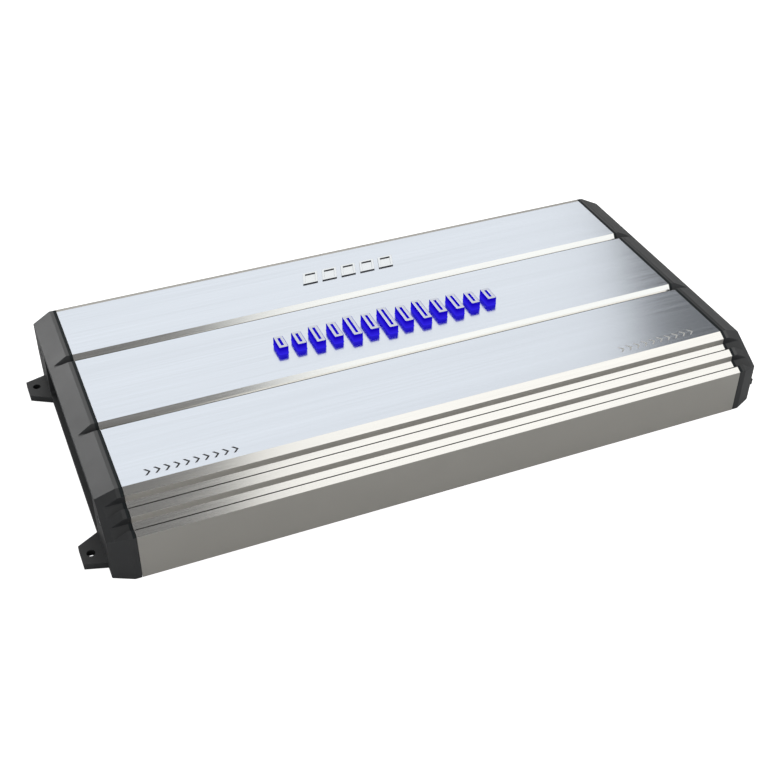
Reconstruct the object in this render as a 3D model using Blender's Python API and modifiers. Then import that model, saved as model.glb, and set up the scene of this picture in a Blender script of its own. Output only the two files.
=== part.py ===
"""Car amplifier, built as an assembly of separate parts.

Frame: the origin is the centre of the base, X runs along the length (left end at -X),
Y runs from the front face to the rear face and Z is up. All values are in metres.
"""
import math

import bmesh
import bpy
from mathutils import Matrix, Vector

# --- driving dimensions -----------------------------------------------------------
LENGTH = 0.506                  # over the two end caps
CAP_LENGTH = 0.019
DEPTH = 0.257
HEIGHT = 0.054
GAP = 0.0003                    # assembly gap between parts that touch

HALF_BODY = LENGTH / 2 - CAP_LENGTH
HALF_LENGTH = LENGTH / 2
HALF_DEPTH = DEPTH / 2

# --- cross-section of the heatsink -------------------------------------------------
FRONT_WALL = 0.0364             # height of the flat front wall
SLOPE_TOP_Y = -0.0967           # where the sloping front meets the top
SLOTS = ((-0.1235, -0.1159), (-0.1100, -0.1027))
SLOT_DROP = 0.0050
GROOVES = (-0.0290, 0.0572)     # centre lines of the two long grooves
GROOVE_WIDTH = 0.0082
GROOVE_FLOOR = 0.0024
GROOVE_DEPTH = 0.0043
REAR_CHAMFER = 0.0039
REAR_CHAMFER_DROP = 0.0022
WALL = 0.0060
WALL_FOOT = 0.0025
TOP_WALL = 0.0075
CORNER_WALL = 0.0085            # top wall outside the rear screw boss
SLOPE_WALL = 0.0095
RAIL_WIDTH = 0.0105
RAIL_LOW = 0.0026
RAIL_HIGH = 0.0087
BOSS_Y = 0.1010                 # screw bosses under the top, one near each long side
BOSS_WIDTH = 0.0100
BOSS_LOW = 0.0280

# --- end caps ----------------------------------------------------------------------
LIP = 0.0050                    # straight part of a cap before its taper starts
FACE_HEIGHT = 0.0480
FACE_FRONT_Y = -0.1217
FACE_CORNER_Z = 0.0323
FACE_TOP_Y = -0.0950
FACE_REAR_Y = 0.1247
FACE_REAR_LOW_Z = 0.0190
FACE_REAR_FOOT_Y = 0.1190
WINDOW_HALF = 0.0840
WINDOW_LOW = 0.0060
WINDOW_HIGH = 0.0420
WINDOW_RADIUS = 0.0030
EAR_LENGTH = 0.0154
EAR_HEIGHT = 0.0050
EAR_ROOT = (0.0799, 0.1115)
EAR_TIP = (0.0889, 0.1070)
EAR_HOLE = (0.0086, 0.0985)     # from the cap's outer face, from the middle plane
EAR_HOLE_RADIUS = 0.0030
CAP_SCREW_Z = 0.0340
CAP_SCREW_RADIUS = 0.0019
CAP_SCREW_HEAD = 0.0036
CAP_SCREW_HEAD_HEIGHT = 0.0024
COUNTERBORE_DEPTH = 0.0030

# --- end panels --------------------------------------------------------------------
PANEL = 0.0015                  # sheet thickness
PANEL_HALF = 0.1200
PANEL_LOW = 0.0030
PANEL_HIGH = 0.0464
PANEL_INSET = 0.0080            # below the sloping front, measured upright
PANEL_INNER_X = HALF_BODY + GAP
PANEL_OUTER_X = PANEL_INNER_X + PANEL

# --- boards ------------------------------------------------------------------------
BOARD = 0.0016
BOARD_Z = RAIL_HIGH + GAP
BOARD_TOP = BOARD_Z + BOARD + GAP
CONTROL_BOARD_X = 0.2204        # outer face of the upright control board

# --- left end: signals and controls ------------------------------------------------
SOCKET_BLOCK_Y = (-0.0680, -0.0400)
SOCKET_BLOCK_SIZE = 0.0260
SOCKET_PITCH = 0.0130
SOCKET_RADIUS = 0.0042
SOCKET_BORE = 0.0017
SOCKET_TIP_X = 0.2480
MIDDLE_Z = 0.0240
KNOB_Z = 0.0310
KNOB_FIRST_Y = -0.0180
KNOB_PITCH = 0.0150
KNOB_NAMES = ("level_knob_front", "crossover_knob_front", "level_knob_rear",
              "highpass_knob_rear", "lowpass_knob_rear", "bass_boost_knob")
KNOB_RADIUS = 0.0045
KNOB_SHAFT = 0.0020
SWITCH_Z = 0.0150
SWITCHES = (("front", -0.0030), ("rear", 0.0420))
REMOTE_Y = 0.0740
INDICATOR_Y = 0.0180
INDICATOR_RADIUS = 0.0016

# --- right end: power and loudspeakers ---------------------------------------------
POWER_Y = -0.0590
POWER_PITCH = 0.0150
POWER_COUNT = 3
POWER_SCREW_Z = 0.0315
POWER_ENTRY_Z = 0.0190
POWER_ENTRY = 0.0086
POWER_SCREW_RADIUS = 0.0036
POWER_TIP_X = 0.2460
SPEAKER_Y = 0.0410
SPEAKER_PITCH = 0.0092
SPEAKER_COUNT = 8
SPEAKER_SCREW_Z = 0.0290
SPEAKER_ENTRY_Z = 0.0180
SPEAKER_ENTRY = 0.0056
SPEAKER_SCREW_RADIUS = 0.0025
SPEAKER_TIP_X = 0.2450
FUSE_Y = -0.0165
FUSE_PITCH = 0.0100
FUSE_COUNT = 3
FUSE_Z = 0.0245
FUSE_HOLDER_TIP_X = 0.2390

# --- light guide on the middle band ------------------------------------------------
BAR_COUNT = 13
BAR_PITCH = 0.0145
BAR_WIDTH = 0.0076
BAR_MIDDLE_Y = 0.0100
BAR_SHORTEST = 0.0140
BAR_LONGEST = 0.0280
BAR_TOP = HEIGHT + 0.0063
GUIDE_THICKNESS = 0.0030
GUIDE_MARGIN = 0.0040

SMOOTH_ANGLE = math.radians(40)


# --- scene and mesh helpers --------------------------------------------------------
def clear_scene():
    """Remove every object, and make the two collections."""
    for old in list(bpy.data.objects):
        bpy.data.objects.remove(old, do_unlink=True)
    parts = bpy.data.collections.new("car_amplifier")
    cutters = bpy.data.collections.new("cutters")
    for collection in (parts, cutters):
        bpy.context.scene.collection.children.link(collection)
    return parts, cutters


PARTS, CUTTERS = clear_scene()


def paint(name, colour, roughness, metallic):
    """Return a Principled material."""
    material = bpy.data.materials.new(name)
    material.use_nodes = True
    shader = material.node_tree.nodes["Principled BSDF"]
    shader.inputs["Base Color"].default_value = (*colour, 1.0)
    shader.inputs["Roughness"].default_value = roughness
    shader.inputs["Metallic"].default_value = metallic
    return material


def add_part(name, mesh, material):
    """Link a finished mesh as one named part."""
    part = bpy.data.objects.new(name, mesh)
    mesh.materials.append(material)
    PARTS.objects.link(part)
    return part


def add_cutter(name, bm):
    """Turn a bmesh into a wire-frame tool that isn't part of the object."""
    mesh = bpy.data.meshes.new(name)
    bmesh.ops.recalc_face_normals(bm, faces=bm.faces)
    bm.to_mesh(mesh)
    bm.free()
    tool = bpy.data.objects.new(name, mesh)
    tool.display_type = 'WIRE'
    tool.hide_render = True
    CUTTERS.objects.link(tool)
    return tool


def combine(part, tool, operation):
    """Add a Boolean modifier that joins or cuts the part with the tool."""
    modifier = part.modifiers.new(tool.name, 'BOOLEAN')
    modifier.operation = operation
    modifier.object = tool


def solid_from(name, bm, material):
    """Turn a bmesh into a part."""
    mesh = bpy.data.meshes.new(name)
    bmesh.ops.recalc_face_normals(bm, faces=bm.faces)
    bm.to_mesh(mesh)
    bm.free()
    return add_part(name, mesh, material)


def add_box(bm, x, y, z):
    """Add a box that spans the three (low, high) pairs."""
    middle = Vector((sum(x) / 2, sum(y) / 2, sum(z) / 2))
    size = Vector((abs(x[1] - x[0]), abs(y[1] - y[0]), abs(z[1] - z[0])))
    matrix = Matrix.Translation(middle) @ Matrix.Diagonal((*size, 1.0))
    bmesh.ops.create_cube(bm, size=1.0, matrix=matrix)


def add_rod(bm, x, y, z, radius, segments=24):
    """Add a cylinder along X between x[0] and x[1]."""
    turn = Matrix.Rotation(math.radians(90), 4, 'Y')
    place = Matrix.Translation((sum(x) / 2, y, z))
    bmesh.ops.create_cone(bm, cap_ends=True, segments=segments, radius1=radius,
                          radius2=radius, depth=abs(x[1] - x[0]), matrix=place @ turn)


def add_post(bm, x, y, z, radius, segments=24):
    """Add a cylinder along Z between z[0] and z[1]."""
    place = Matrix.Translation((x, y, sum(z) / 2))
    bmesh.ops.create_cone(bm, cap_ends=True, segments=segments, radius1=radius,
                          radius2=radius, depth=z[1] - z[0], matrix=place)


def outline_mesh(points, low, high, frame):
    """Extrude a closed 2D outline between two heights, and place it with a matrix."""
    curve = bpy.data.curves.new("outline", 'CURVE')
    curve.dimensions = '2D'
    curve.fill_mode = 'BOTH'
    curve.extrude = (high - low) / 2
    spline = curve.splines.new('POLY')
    spline.points.add(len(points) - 1)
    for point, (u, v) in zip(spline.points, points):
        point.co = (u, v, 0.0, 1.0)
    spline.use_cyclic_u = True
    guide = bpy.data.objects.new("outline", curve)
    bpy.context.scene.collection.objects.link(guide)
    graph = bpy.context.evaluated_depsgraph_get()
    mesh = bpy.data.meshes.new_from_object(guide.evaluated_get(graph))
    mesh.transform(frame @ Matrix.Translation((0, 0, (low + high) / 2)))
    bpy.data.objects.remove(guide, do_unlink=True)
    return mesh


ALONG_X = Matrix(((0, 0, 1, 0), (1, 0, 0, 0), (0, 1, 0, 0), (0, 0, 0, 1)))


def add_section(bm, points, x):
    """Add a prism along X whose (y, z) outline is given."""
    bm.from_mesh(outline_mesh(points, min(x), max(x), ALONG_X))
    bmesh.ops.remove_doubles(bm, verts=bm.verts, dist=0.000001)


def add_plan(bm, points, z):
    """Add a prism along Z whose (x, y) outline is given."""
    bm.from_mesh(outline_mesh(points, min(z), max(z), Matrix.Identity(4)))
    bmesh.ops.remove_doubles(bm, verts=bm.verts, dist=0.000001)


def rounded_rectangle(u, v, radius, steps=4):
    """Return the outline of a rectangle with round corners."""
    corners = ((u[1] - radius, v[1] - radius, 0), (u[0] + radius, v[1] - radius, 90),
               (u[0] + radius, v[0] + radius, 180), (u[1] - radius, v[0] + radius, 270))
    points = []
    for centre_u, centre_v, start in corners:
        for step in range(steps + 1):
            angle = math.radians(start + 90 * step / steps)
            points.append((centre_u + radius * math.cos(angle),
                           centre_v + radius * math.sin(angle)))
    return points


def turned(name, profile, place, side, material, segments=16):
    """Turn (radius, height) points about an X axis, with height pointing out of the end."""
    mesh = bpy.data.meshes.new(name)
    points = [(radius, 0.0, height) for radius, height in profile]
    mesh.from_pydata(points, [(i, i + 1) for i in range(len(points) - 1)], [])
    part = add_part(name, mesh, material)
    part.location = place
    part.rotation_euler = (0.0, side * math.radians(90), 0.0)
    screw = part.modifiers.new("turn", 'SCREW')
    screw.axis = 'Z'
    screw.steps = screw.render_steps = segments
    screw.use_merge_vertices = True
    screw.merge_threshold = 0.00001
    screw.use_smooth_shade = False
    return part


def shade_round(part):
    """Shade curved faces smooth and keep the edges between flats sharp."""
    part.data.shade_smooth()
    part.data.set_sharp_from_angle(angle=SMOOTH_ANGLE)


def spread(middle, pitch, count):
    """Return evenly spaced positions about a middle."""
    return [middle + pitch * (i - (count - 1) / 2) for i in range(count)]


# --- materials ---------------------------------------------------------------------
ALUMINIUM = paint("brushed_aluminium", (0.74, 0.78, 0.83), 0.32, 1.0)
CAP_GREY = paint("cap_grey", (0.11, 0.115, 0.12), 0.45, 0.2)
STEEL_BLACK = paint("black_steel", (0.03, 0.03, 0.032), 0.5, 0.3)
ZINC = paint("zinc_steel", (0.55, 0.56, 0.57), 0.4, 0.9)
BLACK_PLASTIC = paint("black_plastic", (0.02, 0.02, 0.022), 0.45, 0.0)
KNOB_GREY = paint("knob_grey", (0.35, 0.36, 0.37), 0.5, 0.0)
NICKEL = paint("nickel", (0.62, 0.60, 0.56), 0.25, 1.0)
BOARD_GREEN = paint("board_green", (0.03, 0.12, 0.06), 0.5, 0.0)
COPPER = paint("copper_winding", (0.55, 0.22, 0.08), 0.35, 0.8)
SLEEVE_BLUE = paint("capacitor_sleeve", (0.02, 0.03, 0.10), 0.35, 0.0)
EPOXY = paint("transistor_epoxy", (0.015, 0.015, 0.015), 0.55, 0.0)
CLEAR_ORANGE = paint("fuse_orange", (0.85, 0.30, 0.05), 0.2, 0.0)
LENS_GREEN = paint("indicator_lens", (0.10, 0.55, 0.15), 0.15, 0.0)
LIGHT_BLUE = paint("light_guide_blue", (0.02, 0.01, 0.70), 0.2, 0.0)


# --- housing -----------------------------------------------------------------------
def slope_z(y):
    """Height of the plain sloping front at depth y."""
    rise = (HEIGHT - FRONT_WALL) / (SLOPE_TOP_Y + HALF_DEPTH)
    return FRONT_WALL + (y + HALF_DEPTH) * rise


def slot_outline(low_y, high_y, lid):
    """Outline of one front slot, carried up by lid above the sloping face."""
    return [(low_y, slope_z(low_y) + lid), (low_y, slope_z(low_y) - SLOT_DROP),
            (high_y, slope_z(high_y) - SLOT_DROP), (high_y, slope_z(high_y) + lid)]


def groove_outline(middle, lid):
    """Outline of one top groove, with its walls carried up by lid above the top."""
    wall_lean = (GROOVE_WIDTH - GROOVE_FLOOR) / 2 / GROOVE_DEPTH
    mouth = GROOVE_WIDTH / 2 + wall_lean * lid
    floor = GROOVE_FLOOR / 2
    return [(middle - mouth, HEIGHT + lid), (middle - floor, HEIGHT - GROOVE_DEPTH),
            (middle + floor, HEIGHT - GROOVE_DEPTH), (middle + mouth, HEIGHT + lid)]


def outer_outline():
    """The heatsink's outer (y, z) outline, from the front foot over the top to the rear."""
    points = [(-HALF_DEPTH, 0.0), (-HALF_DEPTH, FRONT_WALL)]
    for low_y, high_y in SLOTS:
        points += slot_outline(low_y, high_y, 0.0)
    points.append((SLOPE_TOP_Y, HEIGHT))
    for middle in GROOVES:
        points += groove_outline(middle, 0.0)
    points += [(HALF_DEPTH - REAR_CHAMFER, HEIGHT), (HALF_DEPTH, HEIGHT - REAR_CHAMFER_DROP),
               (HALF_DEPTH, 0.0)]
    return points


def inner_outline():
    """The heatsink's inner outline, from the rear foot back to the front foot."""
    ceiling = HEIGHT - TOP_WALL
    wall = HALF_DEPTH - WALL
    rail = wall - RAIL_WIDTH
    foot = HALF_DEPTH - WALL_FOOT
    near = BOSS_Y - BOSS_WIDTH / 2
    far = BOSS_Y + BOSS_WIDTH / 2
    rise = (HEIGHT - FRONT_WALL) / (SLOPE_TOP_Y + HALF_DEPTH)
    slope_end = SLOPE_TOP_Y + (SLOPE_WALL - TOP_WALL) / rise
    corner = HEIGHT - CORNER_WALL
    rear = [(foot, 0.0), (foot, RAIL_LOW), (rail, RAIL_LOW), (rail, RAIL_HIGH),
            (wall, RAIL_HIGH), (wall, corner), (far, corner), (far, BOSS_LOW),
            (near, BOSS_LOW), (near, ceiling)]
    front = [(slope_end, ceiling), (-near, slope_z(-near) - SLOPE_WALL), (-near, BOSS_LOW),
             (-far, BOSS_LOW), (-far, slope_z(-far) - SLOPE_WALL),
             (-wall, slope_z(-wall) - SLOPE_WALL), (-wall, RAIL_HIGH), (-rail, RAIL_HIGH),
             (-rail, RAIL_LOW), (-foot, RAIL_LOW), (-foot, 0.0)]
    return rear + front


def bar_length(index):
    """Length of one light bar: a long-short swell, like a sound level display."""
    phase = math.pi * (index + 0.5) / BAR_COUNT
    ripple = 0.5 + 0.5 * math.cos(math.pi * index)
    swell = math.sin(phase) * (0.62 + 0.38 * ripple)
    return BAR_SHORTEST + (BAR_LONGEST - BAR_SHORTEST) * swell


def bar_outlines(margin):
    """Plan outlines of all the light bars, each grown by a margin."""
    outlines = []
    for index, x in enumerate(spread(0.0, BAR_PITCH, BAR_COUNT)):
        half_width = BAR_WIDTH / 2 + margin
        half_length = bar_length(index) / 2 + margin
        outlines.append(rounded_rectangle(
            (x - half_width, x + half_width),
            (BAR_MIDDLE_Y - half_length, BAR_MIDDLE_Y + half_length), 0.0012 + margin, 2))
    return outlines


def make_heatsink():
    """The long aluminium extrusion that is the top, the front and the rear."""
    bm = bmesh.new()
    add_section(bm, outer_outline() + inner_outline(), (-HALF_BODY, HALF_BODY))
    heatsink = solid_from("heatsink", bm, ALUMINIUM)
    tool = bmesh.new()
    for outline in bar_outlines(GAP):
        add_plan(tool, outline, (HEIGHT - 2 * TOP_WALL, HEIGHT + TOP_WALL))
    for end in (-1, 1):
        for y in (-BOSS_Y, BOSS_Y):
            add_rod(tool, (end * (HALF_BODY - 0.013), end * (HALF_BODY + 0.01)), y,
                    CAP_SCREW_Z, CAP_SCREW_RADIUS + GAP, 16)
    combine(heatsink, add_cutter("heatsink_holes", tool), 'DIFFERENCE')


def make_bottom_plate():
    """The sheet that closes the underside, set between the walls' feet."""
    half = HALF_DEPTH - WALL_FOOT - GAP
    bm = bmesh.new()
    add_box(bm, (-HALF_BODY + GAP, HALF_BODY - GAP), (-half, half),
            (RAIL_LOW - GAP - PANEL, RAIL_LOW - GAP))
    solid_from("bottom_plate", bm, STEEL_BLACK)


def cap_lip_outline():
    """Outline of the cap where it meets the body, without grooves or slots."""
    return [(-HALF_DEPTH, 0.0), (-HALF_DEPTH, FRONT_WALL), (SLOPE_TOP_Y, HEIGHT),
            (HALF_DEPTH - REAR_CHAMFER, HEIGHT), (HALF_DEPTH, HEIGHT - REAR_CHAMFER_DROP),
            (HALF_DEPTH, FACE_REAR_LOW_Z), (HALF_DEPTH, 0.0)]


def cap_face_outline():
    """Outline of the cap's outer face, point for point with the lip outline."""
    return [(FACE_FRONT_Y, 0.0), (FACE_FRONT_Y, FACE_CORNER_Z), (FACE_TOP_Y, FACE_HEIGHT),
            (FACE_REAR_Y - REAR_CHAMFER, FACE_HEIGHT),
            (FACE_REAR_Y, FACE_HEIGHT - REAR_CHAMFER_DROP),
            (FACE_REAR_Y, FACE_REAR_LOW_Z), (FACE_REAR_FOOT_Y, 0.0)]


def add_tapered_block(bm, side):
    """Add the cap's outer form: a straight lip, then a taper to the outer face."""
    lip_points = cap_lip_outline()
    face_points = cap_face_outline()
    add_section(bm, lip_points, (side * PANEL_INNER_X, side * HALF_LENGTH))
    everything = bm.verts[:] + bm.edges[:] + bm.faces[:]
    bmesh.ops.bisect_plane(bm, geom=everything, dist=0.000001,
                           plane_co=(side * (HALF_BODY + LIP), 0, 0), plane_no=(1, 0, 0))
    for vert in bm.verts:
        if abs(abs(vert.co.x) - HALF_LENGTH) < 0.00001:
            nearest = min(range(len(lip_points)),
                          key=lambda i: (Vector(lip_points[i]) - vert.co.yz).length)
            vert.co.y, vert.co.z = face_points[nearest]


def add_ears(bm, side):
    """Add the two fixing ears, rooted inside the cap."""
    root_x = side * (HALF_LENGTH - 0.003)
    face_x = side * HALF_LENGTH
    tip_x = side * (HALF_LENGTH + EAR_LENGTH)
    for end in (-1, 1):
        points = [(root_x, end * EAR_ROOT[0]), (face_x, end * EAR_ROOT[0]),
                  (tip_x, end * EAR_TIP[0]), (tip_x, end * EAR_TIP[1]),
                  (face_x, end * EAR_ROOT[1]), (root_x, end * EAR_ROOT[1])]
        add_plan(bm, points, (0.0, EAR_HEIGHT))


def panel_outline(margin):
    """Outline of an end panel, grown by a margin."""
    half = PANEL_HALF + margin
    corner = slope_z(-PANEL_HALF) - PANEL_INSET + margin
    rise = (HEIGHT - FRONT_WALL) / (SLOPE_TOP_Y + HALF_DEPTH)
    top = PANEL_HIGH + margin
    return [(-half, PANEL_LOW - margin), (-half, corner), (-half + (top - corner) / rise, top),
            (half, top), (half, PANEL_LOW - margin)]


def cap_cutters(side):
    """One tool with all that is taken out of a cap."""
    bm = bmesh.new()
    length = (side * (HALF_BODY - 0.005), side * (HALF_LENGTH + 0.005))
    for low_y, high_y in SLOTS:
        add_section(bm, slot_outline(low_y, high_y, 0.004), length)
    for middle in GROOVES:
        add_section(bm, groove_outline(middle, 0.002), length)
    return add_cutter(f"cap_grooves_{side}", bm)


def cap_openings(side):
    """One tool with the cap's window, screw holes and ear holes."""
    bm = bmesh.new()
    length = (side * (HALF_BODY + 0.001), side * (HALF_LENGTH + 0.005))
    window = rounded_rectangle((-WINDOW_HALF, WINDOW_HALF), (WINDOW_LOW, WINDOW_HIGH),
                               WINDOW_RADIUS)
    add_section(bm, window, length)
    for y in (-BOSS_Y, BOSS_Y):
        add_rod(bm, length, y, CAP_SCREW_Z, CAP_SCREW_RADIUS + GAP, 16)
    for end in (-1, 1):
        add_post(bm, side * (HALF_LENGTH + EAR_HOLE[0]), end * EAR_HOLE[1],
                 (-0.002, EAR_HEIGHT + 0.002), EAR_HOLE_RADIUS)
    return add_cutter(f"cap_openings_{side}", bm)


def cap_recesses(side):
    """One tool with the seat of the end panel and the screws' counterbores."""
    bm = bmesh.new()
    add_section(bm, panel_outline(GAP), (side * (HALF_BODY - 0.002),
                                         side * (PANEL_OUTER_X + GAP)))
    for y in (-BOSS_Y, BOSS_Y):
        add_rod(bm, (side * (HALF_LENGTH - COUNTERBORE_DEPTH), side * (HALF_LENGTH + 0.002)),
                y, CAP_SCREW_Z, CAP_SCREW_HEAD + GAP)
    return add_cutter(f"cap_recesses_{side}", bm)


def make_end_cap(name, side):
    """An end cap: tapered frame with a window, grooves that run out, and two ears."""
    bm = bmesh.new()
    add_tapered_block(bm, side)
    cap = solid_from(name, bm, CAP_GREY)
    ears = bmesh.new()
    add_ears(ears, side)
    combine(cap, add_cutter(f"cap_ears_{side}", ears), 'UNION')
    for tool in (cap_cutters(side), cap_recesses(side), cap_openings(side)):
        combine(cap, tool, 'DIFFERENCE')


def make_end_panel(name, side, tool):
    """An end panel with the openings that the tool cuts."""
    bm = bmesh.new()
    add_section(bm, panel_outline(0.0), (side * PANEL_INNER_X, side * PANEL_OUTER_X))
    for y in (-BOSS_Y, BOSS_Y):
        add_rod(tool, (side * HALF_BODY, side * (HALF_BODY + 0.004)), y, CAP_SCREW_Z,
                CAP_SCREW_RADIUS + GAP, 16)
    panel = solid_from(name, bm, STEEL_BLACK)
    combine(panel, add_cutter(f"{name}_holes", tool), 'DIFFERENCE')


def make_screw(name, place, side, radii, heights, socket, material):
    """A headed screw with a hexagon socket; heights run from the tip to the head."""
    shank, head = radii
    tip, under_head, top = heights
    profile = [(0.0, top), (head - 0.0004, top), (head, top - 0.0004), (head, under_head),
               (shank, under_head), (shank, tip), (0.0, tip)]
    screw = turned(name, profile, place, side, material)
    bm = bmesh.new()
    outer = place[0] + side * top
    add_rod(bm, (outer - side * socket[1], outer + side * 0.001), place[1], place[2],
            socket[0], 6)
    combine(screw, add_cutter(f"{name}_socket", bm), 'DIFFERENCE')


def make_cap_screws():
    """Two screws hold each end cap and its panel to the heatsink."""
    seat = HALF_LENGTH - COUNTERBORE_DEPTH + GAP
    for end_name, side in (("left", -1), ("right", 1)):
        for row_name, y in (("front", -BOSS_Y), ("rear", BOSS_Y)):
            make_screw(f"cap_screw_{end_name}_{row_name}", (side * seat, y, CAP_SCREW_Z), side,
                       (CAP_SCREW_RADIUS, CAP_SCREW_HEAD),
                       (-0.0275, 0.0, CAP_SCREW_HEAD_HEIGHT), (0.0018, 0.0015), ZINC)


# --- left end ----------------------------------------------------------------------
def make_socket_block(name, y):
    """A block of four round signal sockets."""
    half = SOCKET_BLOCK_SIZE / 2
    bm = bmesh.new()
    add_box(bm, (-CONTROL_BOARD_X - BOARD - GAP, -PANEL_OUTER_X - 0.001), (y - half, y + half),
            (MIDDLE_Z - half, MIDDLE_Z + half))
    block = solid_from(name, bm, BLACK_PLASTIC)
    barrels = bmesh.new()
    bores = bmesh.new()
    for socket_y in spread(y, SOCKET_PITCH, 2):
        for socket_z in spread(MIDDLE_Z, SOCKET_PITCH, 2):
            add_rod(barrels, (-SOCKET_TIP_X, -PANEL_INNER_X), socket_y, socket_z,
                    SOCKET_RADIUS, 16)
            add_rod(bores, (-SOCKET_TIP_X - 0.001, -PANEL_INNER_X), socket_y, socket_z,
                    SOCKET_BORE, 8)
    combine(block, add_cutter(f"{name}_barrels", barrels), 'UNION')
    combine(block, add_cutter(f"{name}_bores", bores), 'DIFFERENCE')


def make_knob(name, y):
    """A rotary control: a slotted knob on a thin shaft."""
    base = 0.0008
    top = 0.0075
    tip = -0.0115
    profile = [(0.0, top), (KNOB_RADIUS - 0.0006, top), (KNOB_RADIUS, top - 0.0006),
               (KNOB_RADIUS, base), (KNOB_SHAFT, base), (KNOB_SHAFT, tip), (0.0, tip)]
    knob = turned(name, profile, (-PANEL_OUTER_X, y, KNOB_Z), -1, KNOB_GREY)
    bm = bmesh.new()
    add_box(bm, (-PANEL_OUTER_X - top - 0.001, -PANEL_OUTER_X - top + 0.0016),
            (y - 0.0005, y + 0.0005), (KNOB_Z - 0.006, KNOB_Z + 0.006))
    combine(knob, add_cutter(f"{name}_slot", bm), 'DIFFERENCE')


def knob_positions():
    """Depth positions of the six rotary controls."""
    return [KNOB_FIRST_Y + KNOB_PITCH * i for i in range(len(KNOB_NAMES))]


def make_slide_switch(name, y):
    """A slide switch: a pocketed housing behind the panel, and its slider."""
    back_x = -CONTROL_BOARD_X - BOARD - GAP
    front_x = -PANEL_INNER_X + GAP
    pocket_x = back_x - 0.0030
    bm = bmesh.new()
    add_box(bm, (front_x, back_x), (y - 0.0085, y + 0.0085), (SWITCH_Z - 0.004, SWITCH_Z + 0.004))
    housing = solid_from(f"switch_housing_{name}", bm, ZINC)
    pocket = bmesh.new()
    add_box(pocket, (front_x - 0.001, pocket_x), (y - 0.0058, y + 0.0058),
            (SWITCH_Z - 0.0028, SWITCH_Z + 0.0028))
    combine(housing, add_cutter(f"switch_pocket_{name}", pocket), 'DIFFERENCE')
    slider = bmesh.new()
    add_box(slider, (pocket_x - GAP, front_x + 0.002), (y - 0.0033, y + 0.0033),
            (SWITCH_Z - 0.0025, SWITCH_Z + 0.0025))
    part = solid_from(f"switch_slider_{name}", slider, BLACK_PLASTIC)
    stem = bmesh.new()
    add_box(stem, (pocket_x - 0.001, -PANEL_OUTER_X - 0.0035), (y - 0.0018, y + 0.0018),
            (SWITCH_Z - 0.0016, SWITCH_Z + 0.0016))
    combine(part, add_cutter(f"switch_stem_{name}", stem), 'UNION')


def make_remote_socket():
    """The socket for a wired remote level control."""
    bm = bmesh.new()
    add_box(bm, (-PANEL_OUTER_X - 0.0015, -CONTROL_BOARD_X - BOARD - GAP),
            (REMOTE_Y - 0.0065, REMOTE_Y + 0.0065), (MIDDLE_Z - 0.006, MIDDLE_Z + 0.006))
    socket = solid_from("remote_socket", bm, BLACK_PLASTIC)
    mouth = bmesh.new()
    add_box(mouth, (-PANEL_OUTER_X - 0.003, -PANEL_OUTER_X + 0.0095),
            (REMOTE_Y - 0.0048, REMOTE_Y + 0.0048), (MIDDLE_Z - 0.0035, MIDDLE_Z + 0.0042))
    combine(socket, add_cutter("remote_mouth", mouth), 'DIFFERENCE')


def make_indicator():
    """The power indicator's lens, seen through a round hole."""
    profile = [(0.0, 0.0014), (0.0009, 0.0011), (INDICATOR_RADIUS, 0.0), (INDICATOR_RADIUS, -0.0125),
               (0.0, -0.0125)]
    lens = turned("indicator_lens", profile, (-PANEL_OUTER_X, INDICATOR_Y, SWITCH_Z), -1,
                  LENS_GREEN, 12)
    shade_round(lens)


def left_panel_holes():
    """Tool with the openings of the signal panel."""
    bm = bmesh.new()
    through = (-PANEL_OUTER_X - 0.001, -PANEL_INNER_X + 0.001)
    half = SOCKET_BLOCK_SIZE / 2 + GAP
    for y in SOCKET_BLOCK_Y:
        add_box(bm, through, (y - half, y + half), (MIDDLE_Z - half, MIDDLE_Z + half))
    for y in knob_positions():
        add_rod(bm, through, y, KNOB_Z, KNOB_SHAFT + 0.0004, 12)
    for _, y in SWITCHES:
        add_box(bm, through, (y - 0.0046, y + 0.0046), (SWITCH_Z - 0.0020, SWITCH_Z + 0.0020))
    add_box(bm, through, (REMOTE_Y - 0.0068, REMOTE_Y + 0.0068),
            (MIDDLE_Z - 0.0063, MIDDLE_Z + 0.0063))
    add_rod(bm, through, INDICATOR_Y, SWITCH_Z, INDICATOR_RADIUS + GAP, 12)
    return bm


def make_control_board():
    """The upright board behind the signal panel, with its potentiometers soldered on."""
    face_x = -CONTROL_BOARD_X - BOARD
    bm = bmesh.new()
    add_box(bm, (face_x, -CONTROL_BOARD_X), (-0.086, 0.086), (0.0035, 0.041))
    board = solid_from("control_board", bm, BOARD_GREEN)
    pots = bmesh.new()
    for y in knob_positions():
        add_box(pots, (face_x - 0.0020, face_x + 0.0005), (y - 0.0055, y + 0.0055),
                (KNOB_Z - 0.0055, KNOB_Z + 0.0055))
    combine(board, add_cutter("potentiometers", pots), 'UNION')


def make_left_end():
    """Everything at the signal end."""
    make_end_cap("end_cap_left", -1)
    make_end_panel("end_panel_left", -1, left_panel_holes())
    for name, y in zip(("socket_block_inputs", "socket_block_outputs"), SOCKET_BLOCK_Y):
        make_socket_block(name, y)
    for name, y in zip(KNOB_NAMES, knob_positions()):
        make_knob(name, y)
    for name, y in SWITCHES:
        make_slide_switch(name, y)
    make_remote_socket()
    make_indicator()
    make_control_board()


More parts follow.
